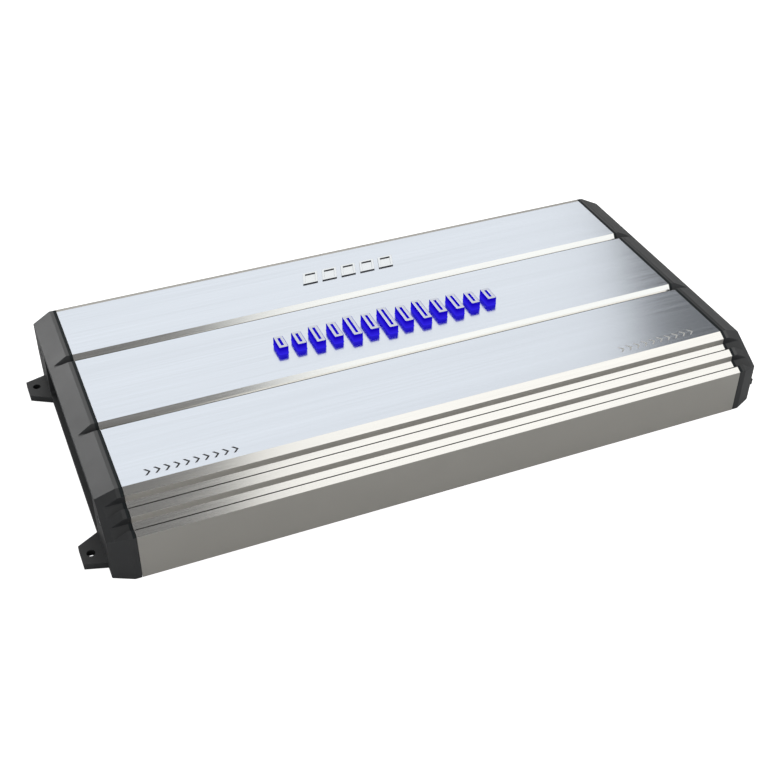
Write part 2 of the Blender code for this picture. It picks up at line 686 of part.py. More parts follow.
# --- right end ---------------------------------------------------------------------
def make_terminal_block(name, ways, tip_x, z, entry, screw, material):
    """A block with one square wire entry and one clamp screw hole for each way."""
    pitch = ways[1] - ways[0]
    entry_z, entry_size = entry
    screw_z, screw_radius = screw
    bm = bmesh.new()
    add_box(bm, (0.2060, tip_x), (ways[0] - pitch / 2, ways[-1] + pitch / 2), z)
    block = solid_from(name, bm, material)
    holes = bmesh.new()
    for y in ways:
        half = entry_size / 2
        add_box(holes, (tip_x - 0.0140, tip_x + 0.001), (y - half, y + half),
                (entry_z - half, entry_z + half))
        add_rod(holes, (tip_x - 0.0100, tip_x + 0.001), y, screw_z, screw_radius + GAP, 12)
    combine(block, add_cutter(f"{name}_holes", holes), 'DIFFERENCE')


def power_ways():
    """Depth positions of the power terminals."""
    return spread(POWER_Y, POWER_PITCH, POWER_COUNT)


def speaker_ways():
    """Depth positions of the loudspeaker terminals."""
    return spread(SPEAKER_Y, SPEAKER_PITCH, SPEAKER_COUNT)


def fuse_places():
    """Depth positions of the fuses."""
    return spread(FUSE_Y, FUSE_PITCH, FUSE_COUNT)


def make_clamp_screw(name, tip_x, y, z, radius):
    """A clamp screw, a grub screw with a hexagon socket, flush in its hole."""
    place = (tip_x - 0.0015, y, z)
    profile = [(0.0, 0.0), (radius - 0.0003, 0.0), (radius, -0.0003), (radius, -0.0070),
               (radius * 0.6, -0.0080), (0.0, -0.0080)]
    screw = turned(name, profile, place, 1, NICKEL, 12)
    bm = bmesh.new()
    add_rod(bm, (place[0] - 0.0030, place[0] + 0.001), y, z, radius * 0.55, 6)
    combine(screw, add_cutter(f"{name}_socket", bm), 'DIFFERENCE')


def make_fuse_holder():
    """The fuse holder with two blade slots for each fuse."""
    half = FUSE_PITCH * FUSE_COUNT / 2
    bm = bmesh.new()
    add_box(bm, (0.2060, FUSE_HOLDER_TIP_X), (FUSE_Y - half, FUSE_Y + half),
            (BOARD_TOP, FUSE_Z + 0.0125))
    holder = solid_from("fuse_holder", bm, BLACK_PLASTIC)
    slots = bmesh.new()
    for y in fuse_places():
        for z in (FUSE_Z - 0.0064, FUSE_Z + 0.0064):
            add_box(slots, (FUSE_HOLDER_TIP_X - 0.0092, FUSE_HOLDER_TIP_X + 0.001),
                    (y - 0.0008, y + 0.0008), (z - 0.0030, z + 0.0030))
    combine(holder, add_cutter("fuse_slots", slots), 'DIFFERENCE')


def make_fuse(name, y):
    """A blade fuse: a plastic body, a wider head and two blades."""
    base_x = FUSE_HOLDER_TIP_X + GAP
    bm = bmesh.new()
    add_box(bm, (base_x, base_x + 0.0086), (y - 0.0021, y + 0.0021),
            (FUSE_Z - 0.0078, FUSE_Z + 0.0078))
    fuse = solid_from(name, bm, CLEAR_ORANGE)
    extra = bmesh.new()
    add_box(extra, (base_x + 0.0046, base_x + 0.0081), (y - 0.0026, y + 0.0026),
            (FUSE_Z - 0.0096, FUSE_Z + 0.0096))
    for z in (FUSE_Z - 0.0064, FUSE_Z + 0.0064):
        add_box(extra, (base_x - 0.0085, base_x + 0.0030), (y - 0.00035, y + 0.00035),
                (z - 0.0026, z + 0.0026))
    combine(fuse, add_cutter(f"{name}_blades", extra), 'UNION')


def right_panel_holes():
    """Tool with the openings of the power panel."""
    bm = bmesh.new()
    through = (PANEL_INNER_X - 0.001, PANEL_OUTER_X + 0.001)
    half_power = POWER_PITCH * POWER_COUNT / 2 + GAP
    half_speaker = SPEAKER_PITCH * SPEAKER_COUNT / 2 + GAP
    half_fuse = FUSE_PITCH * FUSE_COUNT / 2 + GAP
    low = BOARD_TOP - GAP
    add_box(bm, through, (POWER_Y - half_power, POWER_Y + half_power),
            (low, POWER_SCREW_Z + 0.0060 + GAP))
    add_box(bm, through, (SPEAKER_Y - half_speaker, SPEAKER_Y + half_speaker),
            (low, SPEAKER_SCREW_Z + 0.0050 + GAP))
    add_box(bm, through, (FUSE_Y - half_fuse, FUSE_Y + half_fuse), (low, FUSE_Z + 0.0125 + GAP))
    return bm


def make_right_end():
    """Everything at the power end."""
    make_end_cap("end_cap_right", 1)
    make_end_panel("end_panel_right", 1, right_panel_holes())
    make_terminal_block("power_terminal_block", power_ways(), POWER_TIP_X,
                        (BOARD_TOP, POWER_SCREW_Z + 0.0060), (POWER_ENTRY_Z, POWER_ENTRY),
                        (POWER_SCREW_Z, POWER_SCREW_RADIUS), BLACK_PLASTIC)
    for name, y in zip(("supply", "ground", "remote"), power_ways()):
        make_clamp_screw(f"power_clamp_screw_{name}", POWER_TIP_X, y, POWER_SCREW_Z,
                         POWER_SCREW_RADIUS)
    make_terminal_block("speaker_terminal_block", speaker_ways(), SPEAKER_TIP_X,
                        (BOARD_TOP, SPEAKER_SCREW_Z + 0.0050), (SPEAKER_ENTRY_Z, SPEAKER_ENTRY),
                        (SPEAKER_SCREW_Z, SPEAKER_SCREW_RADIUS), BLACK_PLASTIC)
    for number, y in enumerate(speaker_ways(), start=1):
        make_clamp_screw(f"speaker_clamp_screw_{number}", SPEAKER_TIP_X, y, SPEAKER_SCREW_Z,
                         SPEAKER_SCREW_RADIUS)
    make_fuse_holder()
    for number, y in enumerate(fuse_places(), start=1):
        make_fuse(f"fuse_{number}", y)


# --- inside ------------------------------------------------------------------------
def make_main_board():
    """The main circuit board, which rests on the heatsink's two rails."""
    bm = bmesh.new()
    half = HALF_DEPTH - WALL - GAP
    add_box(bm, (-CONTROL_BOARD_X + GAP, HALF_BODY - 0.002), (-half, half),
            (BOARD_Z, BOARD_Z + BOARD))
    solid_from("main_board", bm, BOARD_GREEN)


def make_toroid(name, x, y, outer, inner, height):
    """A wound ring core lying flat on the main board."""
    soft = 0.25 * (outer - inner)
    middle = (outer + inner) / 2
    half_width = (outer - inner) / 2
    points = []
    for start, centre_r, centre_z in ((0, middle + half_width - soft, height - soft),
                                      (-90, middle + half_width - soft, soft),
                                      (-180, middle - half_width + soft, soft),
                                      (-270, middle - half_width + soft, height - soft)):
        for step in (1, 0):
            angle = math.radians(start + 90 * step)
            points.append((centre_r + soft * math.cos(angle), 0.0,
                           centre_z + soft * math.sin(angle)))
    mesh = bpy.data.meshes.new(name)
    count = len(points)
    mesh.from_pydata(points, [(i, (i + 1) % count) for i in range(count)], [])
    ring = add_part(name, mesh, COPPER)
    ring.location = (x, y, BOARD_TOP)
    screw = ring.modifiers.new("turn", 'SCREW')
    screw.steps = screw.render_steps = 20
    screw.use_merge_vertices = True
    screw.merge_threshold = 0.00001


def make_capacitor(name, x, y):
    """An upright supply capacitor."""
    bm = bmesh.new()
    add_post(bm, x, y, (BOARD_TOP, BOARD_TOP + 0.030), 0.011)
    shade_round(solid_from(name, bm, SLEEVE_BLUE))


def make_transistors():
    """Power transistors against the two long walls, pressed on by a bar each."""
    wall = HALF_DEPTH - WALL - GAP
    for row_name, end in (("front", -1), ("rear", 1)):
        for number, x in enumerate(spread(0.0, 0.045, 3), start=1):
            bm = bmesh.new()
            add_box(bm, (x - 0.008, x + 0.008), (end * (wall - 0.005), end * wall),
                    (BOARD_TOP, BOARD_TOP + 0.018))
            solid_from(f"transistor_{row_name}_{number}", bm, EPOXY)
        bm = bmesh.new()
        pressed = wall - 0.005 - GAP
        add_box(bm, (-0.060, 0.060), (end * (pressed - 0.004), end * pressed), (0.014, 0.024))
        solid_from(f"clamp_bar_{row_name}", bm, ZINC)


def make_light_guide():
    """The blue light guide whose bars stand up through the top, and its lamp board."""
    half_x = BAR_PITCH * (BAR_COUNT - 1) / 2 + BAR_WIDTH / 2 + GUIDE_MARGIN
    half_y = BAR_LONGEST / 2 + GUIDE_MARGIN
    top = HEIGHT - TOP_WALL - GAP
    y_span = (BAR_MIDDLE_Y - half_y, BAR_MIDDLE_Y + half_y)
    bm = bmesh.new()
    add_box(bm, (-half_x, half_x), y_span, (top - GUIDE_THICKNESS, top))
    guide = solid_from("badge_light_guide", bm, LIGHT_BLUE)
    bars = bmesh.new()
    for outline in bar_outlines(0.0):
        add_plan(bars, outline, (top - 0.001, BAR_TOP))
    combine(guide, add_cutter("light_bars", bars), 'UNION')
    lamps = bmesh.new()
    lamp_top = top - GUIDE_THICKNESS - GAP
    add_box(lamps, (-half_x, half_x), y_span, (lamp_top - BOARD, lamp_top))
    solid_from("lamp_board", lamps, BOARD_GREEN)


def make_inside():
    """Boards and the large parts on them."""
    make_main_board()
    make_toroid("power_transformer_1", -0.060, -0.052, 0.032, 0.011, 0.026)
    make_toroid("power_transformer_2", 0.020, -0.052, 0.032, 0.011, 0.026)
    make_toroid("input_choke", 0.170, -0.060, 0.016, 0.006, 0.014)
    for number, (x, y) in enumerate(((0.085, -0.070), (0.085, -0.042), (0.118, -0.070),
                                     (0.118, -0.042)), start=1):
        make_capacitor(f"capacitor_{number}", x, y)
    make_transistors()


make_heatsink()
make_bottom_plate()
make_cap_screws()
make_left_end()
make_right_end()
make_inside()
make_light_guide()
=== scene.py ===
"""Looks of a car amplifier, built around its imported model.

Everything is in metres in the model's own frame: the origin is the centre of the base, X runs
along the length with the signal end at -X, Y runs from the stepped front to the rear, Z is up.
"""
import logging
import math
from dataclasses import dataclass, field
from enum import Enum, IntEnum
from typing import Callable, Iterable, Optional, Sequence

import bmesh
import bpy
from mathutils import Matrix, Vector


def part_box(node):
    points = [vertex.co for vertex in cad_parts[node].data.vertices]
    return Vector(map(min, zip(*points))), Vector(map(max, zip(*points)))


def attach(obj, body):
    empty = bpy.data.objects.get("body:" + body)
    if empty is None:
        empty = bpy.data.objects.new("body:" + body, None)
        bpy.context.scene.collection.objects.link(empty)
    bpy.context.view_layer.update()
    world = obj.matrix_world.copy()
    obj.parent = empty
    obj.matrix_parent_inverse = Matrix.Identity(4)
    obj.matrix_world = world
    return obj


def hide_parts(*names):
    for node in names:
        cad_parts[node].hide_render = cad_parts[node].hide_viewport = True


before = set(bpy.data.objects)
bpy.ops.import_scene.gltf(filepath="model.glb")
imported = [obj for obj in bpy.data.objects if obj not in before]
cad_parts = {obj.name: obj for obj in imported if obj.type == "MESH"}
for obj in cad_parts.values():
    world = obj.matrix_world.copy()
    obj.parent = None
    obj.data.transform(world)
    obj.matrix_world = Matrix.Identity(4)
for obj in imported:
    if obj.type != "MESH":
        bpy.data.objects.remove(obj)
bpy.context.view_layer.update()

logging.basicConfig(level=logging.INFO, format="%(message)s")
LOG = logging.getLogger("car_amplifier")

Colour = tuple[float, float, float]
Point = tuple[float, float, float]
FaceTest = Callable[[Vector, Vector], bool]
EdgeTest = Callable[[Vector, Vector], bool]

HOUSING = "housing"
UP, DOWN, TO_REAR = (0.0, 0.0, 1.0), (0.0, 0.0, -1.0), (0.0, 1.0, 0.0)
TO_SIGNAL_END, TO_POWER_END = (-1.0, 0.0, 0.0), (1.0, 0.0, 0.0)
PRINT_LIFT = 0.00012            # how far printed marks stand off the surface they are on
MERGE = 0.000002                # how near points are to count as one


# ======================================================================================
# Shader building
# ======================================================================================
class Effect(Enum):
    """Surface effects shared by several finishes, each one a node group."""

    BRUSHED = "brushed_lines"
    GRAIN = "fine_grain"
    WEAR = "edge_wear_and_highlight"
    DUST = "settled_dust"


class GroupMaker:
    """Builds each shared shader node group once and hands it out."""

    def __init__(self) -> None:
        self.made: dict[Effect, bpy.types.NodeTree] = {}

    def get(self, effect: Effect) -> bpy.types.NodeTree:
        """Return the group for an effect, building it on first use.

        Args:
            effect: the effect wanted.

        Returns:
            The shader node group.
        """
        if effect not in self.made:
            builders = {Effect.BRUSHED: self._brushed, Effect.GRAIN: self._grain,
                        Effect.WEAR: self._wear_and_highlight, Effect.DUST: self._dust}
            self.made[effect] = builders[effect]()
        return self.made[effect]

    @staticmethod
    def _shell(name: str, inputs: Sequence[tuple[str, float]],
               outputs: Sequence[str]) -> tuple[bpy.types.NodeTree, bpy.types.Node, bpy.types.Node]:
        """Make an empty group with float inputs and outputs.

        Args:
            name: the group's name.
            inputs: socket names and their default values.
            outputs: socket names.

        Returns:
            The group, its input node and its output node.
        """
        tree = bpy.data.node_groups.new(name, "ShaderNodeTree")
        for label, value in inputs:
            socket = tree.interface.new_socket(label, in_out="INPUT",
                                               socket_type="NodeSocketFloat")
            socket.default_value = value
        for label in outputs:
            tree.interface.new_socket(label, in_out="OUTPUT", socket_type="NodeSocketFloat")
        return tree, tree.nodes.new("NodeGroupInput"), tree.nodes.new("NodeGroupOutput")

    @staticmethod
    def _noise(tree: bpy.types.NodeTree, stretch: Point, detail: float) -> bpy.types.Node:
        """Add a noise on stretched Object coordinates.

        Args:
            tree: the group.
            stretch: how much the pattern is squeezed along each axis.
            detail: the noise's detail.

        Returns:
            The noise node.
        """
        place = tree.nodes.new("ShaderNodeTexCoord")
        mapping = tree.nodes.new("ShaderNodeMapping")
        mapping.inputs["Scale"].default_value = stretch
        noise = tree.nodes.new("ShaderNodeTexNoise")
        noise.inputs["Detail"].default_value = detail
        tree.links.new(place.outputs["Object"], mapping.inputs["Vector"])
        tree.links.new(mapping.outputs["Vector"], noise.inputs["Vector"])
        return noise

    @staticmethod
    def _times(tree: bpy.types.NodeTree, first: bpy.types.NodeSocket,
               second: bpy.types.NodeSocket | float) -> bpy.types.NodeSocket:
        """Multiply a socket by another one, or by a number.

        Args:
            tree: the group.
            first: the socket.
            second: what it is multiplied by.

        Returns:
            The product.
        """
        product = tree.nodes.new("ShaderNodeMath")
        product.operation = "MULTIPLY"
        tree.links.new(first, product.inputs[0])
        if isinstance(second, float):
            product.inputs[1].default_value = second
        else:
            tree.links.new(second, product.inputs[1])
        return product.outputs[0]

    def _brushed(self) -> bpy.types.NodeTree:
        """Brushing along X: Lines are the fine scratches, Streaks are the broad soft bands.

        Returns:
            The group.
        """
        tree, source, sink = self._shell(Effect.BRUSHED.value, [("Scale", 900.0)],
                                         ["Lines", "Streaks"])
        scale = source.outputs["Scale"]
        lines = self._noise(tree, (0.012, 1.0, 1.0), 3.0)
        streaks = self._noise(tree, (0.03, 1.0, 1.0), 2.0)
        tree.links.new(scale, lines.inputs["Scale"])
        tree.links.new(self._times(tree, scale, 0.16), streaks.inputs["Scale"])
        tree.links.new(lines.outputs["Fac"], sink.inputs["Lines"])
        tree.links.new(streaks.outputs["Fac"], sink.inputs["Streaks"])
        return tree

    def _grain(self) -> bpy.types.NodeTree:
        """Even grain: Grain is the fine texture, Blotch is the slow variation.

        Returns:
            The group.
        """
        tree, source, sink = self._shell(Effect.GRAIN.value, [("Scale", 1500.0)],
                                         ["Grain", "Blotch"])
        scale = source.outputs["Scale"]
        grain = self._noise(tree, (1.0, 1.0, 1.0), 2.0)
        blotch = self._noise(tree, (1.0, 1.0, 1.0), 3.0)
        tree.links.new(scale, grain.inputs["Scale"])
        tree.links.new(self._times(tree, scale, 0.02), blotch.inputs["Scale"])
        tree.links.new(grain.outputs["Fac"], sink.inputs["Grain"])
        tree.links.new(blotch.outputs["Fac"], sink.inputs["Blotch"])
        return tree

    def _wear_and_highlight(self) -> bpy.types.NodeTree:
        """A mask that is strong on sharp edges, broken up by noise: for wear, and for a painted
        highlight along edges.

        Returns:
            The group.
        """
        tree, source, sink = self._shell(Effect.WEAR.value,
                                         [("Radius", 0.0004), ("Amount", 0.5)], ["Mask"])
        rounded = tree.nodes.new("ShaderNodeBevel")
        rounded.samples = 4
        facing = tree.nodes.new("ShaderNodeNewGeometry")
        match = tree.nodes.new("ShaderNodeVectorMath")
        match.operation = "DOT_PRODUCT"
        edge = tree.nodes.new("ShaderNodeMapRange")
        edge.inputs["From Min"].default_value = 0.985
        edge.inputs["From Max"].default_value = 0.90
        broken = self._noise(tree, (1.0, 1.0, 1.0), 2.0)
        broken.inputs["Scale"].default_value = 260.0
        tree.links.new(source.outputs["Radius"], rounded.inputs["Radius"])
        tree.links.new(rounded.outputs["Normal"], match.inputs[0])
        tree.links.new(facing.outputs["Normal"], match.inputs[1])
        tree.links.new(match.outputs["Value"], edge.inputs["Value"])
        patchy = self._times(tree, edge.outputs["Result"], broken.outputs["Fac"])
        tree.links.new(self._times(tree, patchy, source.outputs["Amount"]),
                       sink.inputs["Mask"])
        return tree

    def _dust(self) -> bpy.types.NodeTree:
        """A faint mask on faces that look up, in soft patches.

        Returns:
            The group.
        """
        tree, source, sink = self._shell(Effect.DUST.value, [("Amount", 0.1)], ["Mask"])
        facing = tree.nodes.new("ShaderNodeNewGeometry")
        split = tree.nodes.new("ShaderNodeSeparateXYZ")
        upward = tree.nodes.new("ShaderNodeMapRange")
        upward.inputs["From Min"].default_value = 0.5
        patches = self._noise(tree, (1.0, 1.0, 1.0), 4.0)
        patches.inputs["Scale"].default_value = 45.0
        tree.links.new(facing.outputs["Normal"], split.inputs[0])
        tree.links.new(split.outputs["Z"], upward.inputs["Value"])
        settled = self._times(tree, upward.outputs["Result"], patches.outputs["Fac"])
        tree.links.new(self._times(tree, settled, source.outputs["Amount"]),
                       sink.inputs["Mask"])
        return tree


GROUPS = GroupMaker()


@dataclass(frozen=True)
class Finish:
    """A surface finish: Principled values and how strongly each shared effect shows.

    Fields ending in _bump give the height of an effect's relief in metres.
    """

    name: str
    colour: Colour
    roughness: float
    metallic: float = 0.0
    brushed: float = 0.0
    brushed_scale: float = 900.0
    brushed_bump: float = 0.0
    grain: float = 0.0
    grain_scale: float = 1500.0
    grain_bump: float = 0.0
    wear_and_highlight: float = 0.0
    wear_and_highlight_colour: Colour = (0.5, 0.5, 0.5)
    wear_and_highlight_radius: float = 0.0005
    dust: float = 0.0
    coat: float = 0.0
    coat_roughness: float = 0.2
    specular: float = 0.5
    glow: float = 0.0
    glow_colour: Colour = (0.0, 0.0, 0.0)
    see_through: float = 0.0

    def material(self) -> bpy.types.Material:
        """Build this finish's material on first use.

        Returns:
            The material.
        """
        found = bpy.data.materials.get(self.name)
        if found is not None:
            return found
        material = bpy.data.materials.new(self.name)
        material.use_nodes = True
        tree = material.node_tree
        shader = tree.nodes["Principled BSDF"]
        self._set_values(shader)
        painter = Painter(tree, self.colour, self.roughness)
        if self.brushed:
            painter.brush(self.brushed, self.brushed_scale, self.brushed_bump)
        if self.grain or self.grain_bump:
            painter.grain(self.grain, self.grain_scale, self.grain_bump)
        if self.wear_and_highlight:
            painter.wear_and_highlight(self.wear_and_highlight, self.wear_and_highlight_radius, self.wear_and_highlight_colour)
        if self.dust:
            painter.dust(self.dust)
        self.extra(painter, shader)
        painter.connect(shader)
        return material

    def _set_values(self, shader: bpy.types.Node) -> None:
        """Set the constant values on the shader's own sockets.

        Args:
            shader: the Principled node.
        """
        shader.inputs["Base Color"].default_value = (*self.colour, 1.0)
        shader.inputs["Roughness"].default_value = self.roughness
        shader.inputs["Metallic"].default_value = self.metallic
        shader.inputs["Coat Weight"].default_value = self.coat
        shader.inputs["Coat Roughness"].default_value = self.coat_roughness
        shader.inputs["Specular IOR Level"].default_value = self.specular
        shader.inputs["Emission Strength"].default_value = self.glow
        shader.inputs["Emission Color"].default_value = (*self.glow_colour, 1.0)
        shader.inputs["Transmission Weight"].default_value = self.see_through

    def extra(self, painter: "Painter", shader: bpy.types.Node) -> None:
        """Add what only this finish has. The plain finish adds nothing.

        Args:
            painter: the material's painter.
            shader: the Principled node.
        """


class MixSocket(IntEnum):
    """Places of the colour sockets on a Mix node."""

    FACTOR = 0
    RESULT = 2
    FIRST = 6
    SECOND = 7


class Painter:
    """Chains effects in one material: each step mixes into the running colour and roughness."""

    def __init__(self, tree: bpy.types.NodeTree, colour: Colour, roughness: float) -> None:
        self.tree = tree
        self.base = colour
        self.base_roughness = roughness
        self.colour: Optional[bpy.types.NodeSocket] = None
        self.rough: Optional[bpy.types.NodeSocket] = None
        self.normal: Optional[bpy.types.NodeSocket] = None

    def group(self, effect: Effect, **values: float) -> bpy.types.Node:
        """Place a shared group with its own input values.

        Args:
            effect: the effect wanted.
            values: a value for each input named.

        Returns:
            The group node.
        """
        node = self.tree.nodes.new("ShaderNodeGroup")
        node.node_tree = GROUPS.get(effect)
        for label, value in values.items():
            node.inputs[label].default_value = value
        return node

    def shade(self, mask: bpy.types.NodeSocket, low: float, high: float) -> None:
        """Multiply the running colour by a level that follows a mask.

        Args:
            mask: the mask.
            low: the level where the mask is 0.3 or less.
            high: the level where it is 0.7 or more.
        """
        level = self._span(mask, low, high)
        mix = self._mixer("MULTIPLY")
        mix.inputs[MixSocket.FACTOR].default_value = 1.0
        self.tree.links.new(level, mix.inputs[MixSocket.SECOND])

    def tint(self, mask: bpy.types.NodeSocket, colour: Colour) -> None:
        """Blend the running colour towards another one.

        Args:
            mask: how much of the other colour shows.
            colour: the other colour.
        """
        mix = self._mixer("MIX")
        self.tree.links.new(mask, mix.inputs[MixSocket.FACTOR])
        mix.inputs[MixSocket.SECOND].default_value = (*colour, 1.0)

    def _span(self, mask: bpy.types.NodeSocket, low: float, high: float) -> bpy.types.NodeSocket:
        """Spread the middle of a mask, where noise mostly lies, over two levels.

        Args:
            mask: the mask.
            low: the level where the mask is 0.3 or less.
            high: the level where it is 0.7 or more.

        Returns:
            The level.
        """
        span = self.tree.nodes.new("ShaderNodeMapRange")
        span.inputs["From Min"].default_value = 0.3
        span.inputs["From Max"].default_value = 0.7
        span.inputs["To Min"].default_value = low
        span.inputs["To Max"].default_value = high
        self.tree.links.new(mask, span.inputs["Value"])
        return span.outputs["Result"]

    def _mixer(self, blend: str) -> bpy.types.Node:
        """Add a colour mix whose first colour is the running colour.

        Args:
            blend: how the colours are mixed.

        Returns:
            The mix node.
        """
        mix = self.tree.nodes.new("ShaderNodeMix")
        mix.data_type = "RGBA"
        mix.blend_type = blend
        mix.clamp_result = True
        if self.colour is None:
            mix.inputs[MixSocket.FIRST].default_value = (*self.base, 1.0)
        else:
            self.tree.links.new(self.colour, mix.inputs[MixSocket.FIRST])
        self.colour = mix.outputs[MixSocket.RESULT]
        return mix

    def roughen(self, mask: bpy.types.NodeSocket, low: float, high: float) -> None:
        """Add to the roughness an amount that follows a mask.

        Args:
            mask: the mask.
            low: the amount where the mask is 0.3 or less.
            high: the amount where it is 0.7 or more.
        """
        change = self._span(mask, low, high)
        total = self.tree.nodes.new("ShaderNodeMath")
        total.operation = "ADD"
        total.use_clamp = True
        if self.rough is None:
            total.inputs[0].default_value = self.base_roughness
        else:
            self.tree.links.new(self.rough, total.inputs[0])
        self.tree.links.new(change, total.inputs[1])
        self.rough = total.outputs[0]

    def relief(self, height: bpy.types.NodeSocket, depth: float) -> None:
        """Add a bump.

        Args:
            height: the pattern of the bump.
            depth: its depth in metres.
        """
        bump = self.tree.nodes.new("ShaderNodeBump")
        bump.inputs["Strength"].default_value = 1.0
        bump.inputs["Distance"].default_value = depth
        self.tree.links.new(height, bump.inputs["Height"])
        if self.normal is not None:
            self.tree.links.new(self.normal, bump.inputs["Normal"])
        self.normal = bump.outputs["Normal"]

    def brush(self, strength: float, scale: float, bump: float) -> None:
        """Show brushed lines and streaks in colour, roughness and relief.

        Args:
            strength: how strongly they show.
            scale: how fine they are.
            bump: the depth of the relief.
        """
        node = self.group(Effect.BRUSHED, Scale=scale)
        self.shade(node.outputs["Lines"], 1.0 - strength, 1.0)
        self.shade(node.outputs["Streaks"], 1.0 - 0.6 * strength, 1.0)
        self.roughen(node.outputs["Lines"], -0.5 * strength, 0.5 * strength)
        if bump:
            self.relief(node.outputs["Lines"], bump)

    def grain(self, strength: float, scale: float, bump: float) -> None:
        """Show fine grain and slow blotches.

        Args:
            strength: how strongly they show.
            scale: how fine the grain is.
            bump: the depth of the relief.
        """
        node = self.group(Effect.GRAIN, Scale=scale)
        if strength:
            self.shade(node.outputs["Grain"], 1.0 - strength, 1.0)
            self.shade(node.outputs["Blotch"], 1.0 - 0.5 * strength, 1.0)
            self.roughen(node.outputs["Blotch"], -0.3 * strength, 0.3 * strength)
        if bump:
            self.relief(node.outputs["Grain"], bump)

    def wear_and_highlight(self, strength: float, radius: float, colour: Colour) -> None:
        """Lighter, patchy edges: wear, and a painted highlight along the edges."""
        node = self.group(Effect.WEAR, Radius=radius, Amount=strength)
        self.tint(node.outputs["Mask"], colour)

    def dust(self, strength: float) -> None:
        """A thin veil on faces that look up."""
        node = self.group(Effect.DUST, Amount=strength)
        self.tint(node.outputs["Mask"], (0.55, 0.55, 0.54))

    def connect(self, shader: bpy.types.Node) -> None:
        """Link what was built to the shader.

        Args:
            shader: the Principled node.
        """
        links = ((self.colour, "Base Color"), (self.rough, "Roughness"), (self.normal, "Normal"))
        for socket, label in links:
            if socket is not None:
                self.tree.links.new(socket, shader.inputs[label])


@dataclass(frozen=True)
class GlowingGuide(Finish):
    """Lit acrylic: its colour and its light change with height above the metal."""

    low_z: float = 0.054
    high_z: float = 0.0592
    low_glow: Colour = (0.030, 0.018, 0.70)

    def extra(self, painter: Painter, shader: bpy.types.Node) -> None:
        """Blend the light from pale at the foot to deep blue at the top.

        Args:
            painter: the material's painter.
            shader: the Principled node.
        """
        tree = painter.tree
        place = tree.nodes.new("ShaderNodeTexCoord")
        split = tree.nodes.new("ShaderNodeSeparateXYZ")
        span = tree.nodes.new("ShaderNodeMapRange")
        span.inputs["From Min"].default_value = self.low_z
        span.inputs["From Max"].default_value = self.high_z
        ramp = tree.nodes.new("ShaderNodeMix")
        ramp.data_type = "RGBA"
        ramp.inputs[MixSocket.FIRST].default_value = (*self.low_glow, 1.0)
        ramp.inputs[MixSocket.SECOND].default_value = (*self.glow_colour, 1.0)
        tree.links.new(place.outputs["Object"], split.inputs[0])
        tree.links.new(split.outputs["Z"], span.inputs["Value"])
        tree.links.new(span.outputs["Result"], ramp.inputs[MixSocket.FACTOR])
        tree.links.new(ramp.outputs[MixSocket.RESULT], shader.inputs["Emission Color"])


@dataclass(frozen=True)
class WoundWire(Finish):
    """Enamelled wire wound round a ring whose middle is given."""

    centre: Point = (0.0, 0.0, 0.0)
    turns: float = 90.0

    def extra(self, painter: Painter, shader: bpy.types.Node) -> None:
        """Radial ridges, one for each turn of the winding.

        Args:
            painter: the material's painter.
            shader: the Principled node.
        """
        tree = painter.tree
        place = tree.nodes.new("ShaderNodeTexCoord")
        shift = tree.nodes.new("ShaderNodeMapping")
        shift.inputs["Location"].default_value = [-value for value in self.centre]
        split = tree.nodes.new("ShaderNodeSeparateXYZ")
        angle = tree.nodes.new("ShaderNodeMath")
        angle.operation = "ARCTAN2"
        count = tree.nodes.new("ShaderNodeMath")
        count.operation = "MULTIPLY"
        count.inputs[1].default_value = self.turns
        wave = tree.nodes.new("ShaderNodeMath")
        wave.operation = "SINE"
        half = tree.nodes.new("ShaderNodeMath")
        half.operation = "MULTIPLY_ADD"
        half.inputs[1].default_value = 0.5
        half.inputs[2].default_value = 0.5
        tree.links.new(place.outputs["Object"], shift.inputs["Vector"])
        tree.links.new(shift.outputs["Vector"], split.inputs[0])
        tree.links.new(split.outputs["Y"], angle.inputs[0])
        tree.links.new(split.outputs["X"], angle.inputs[1])
        tree.links.new(angle.outputs[0], count.inputs[0])
        tree.links.new(count.outputs[0], wave.inputs[0])
        tree.links.new(wave.outputs[0], half.inputs[0])
        painter.shade(half.outputs[0], 0.45, 1.0)
        painter.relief(half.outputs[0], 0.0005)


# --- the finishes of this object -------------------------------------------------------
BRUSHED_BAND = Finish("brushed_band", (0.74, 0.79, 0.86), 0.18, 1.0, brushed=0.06,
                      brushed_scale=520.0)
MILL_ALUMINIUM = Finish("mill_aluminium", (0.62, 0.63, 0.64), 0.38, 1.0, brushed=0.10,
                        brushed_scale=700.0)
POLISHED_FACET = Finish("polished_facet", (0.90, 0.89, 0.86), 0.17, 1.0, brushed=0.05,
                        brushed_scale=1600.0)
# Painted light: a lighter, less metallic copy of the gunmetal anodising, for the slot walls.
SLOT_WALL_LIT = Finish("slot_wall_anodised_painted_light", (0.68, 0.66, 0.62), 0.50, 0.60, grain=0.05,
                   grain_scale=2600.0)
MACHINED_EDGE = Finish("machined_edge", (0.93, 0.93, 0.92), 0.16, 1.0, brushed=0.04,
                       brushed_scale=2000.0)
GUNMETAL = Finish("gunmetal_anodised", (0.53, 0.515, 0.48), 0.38, 0.65, grain=0.05,
                  grain_scale=2600.0)
# Painted shade: a near-black finish for a thin line along each rear-facing ridge edge and its
# rounding.
EDGE_SHADE = Finish("groove_edge_painted_shade", (0.040, 0.038, 0.035), 0.5, 0.3, grain=0.06,
                    grain_scale=2600.0)
CAP_LIP = Finish("cap_lip_matte", (0.022, 0.028, 0.030), 0.60, 0.0, grain=0.10,
                 grain_scale=2200.0, specular=0.2)
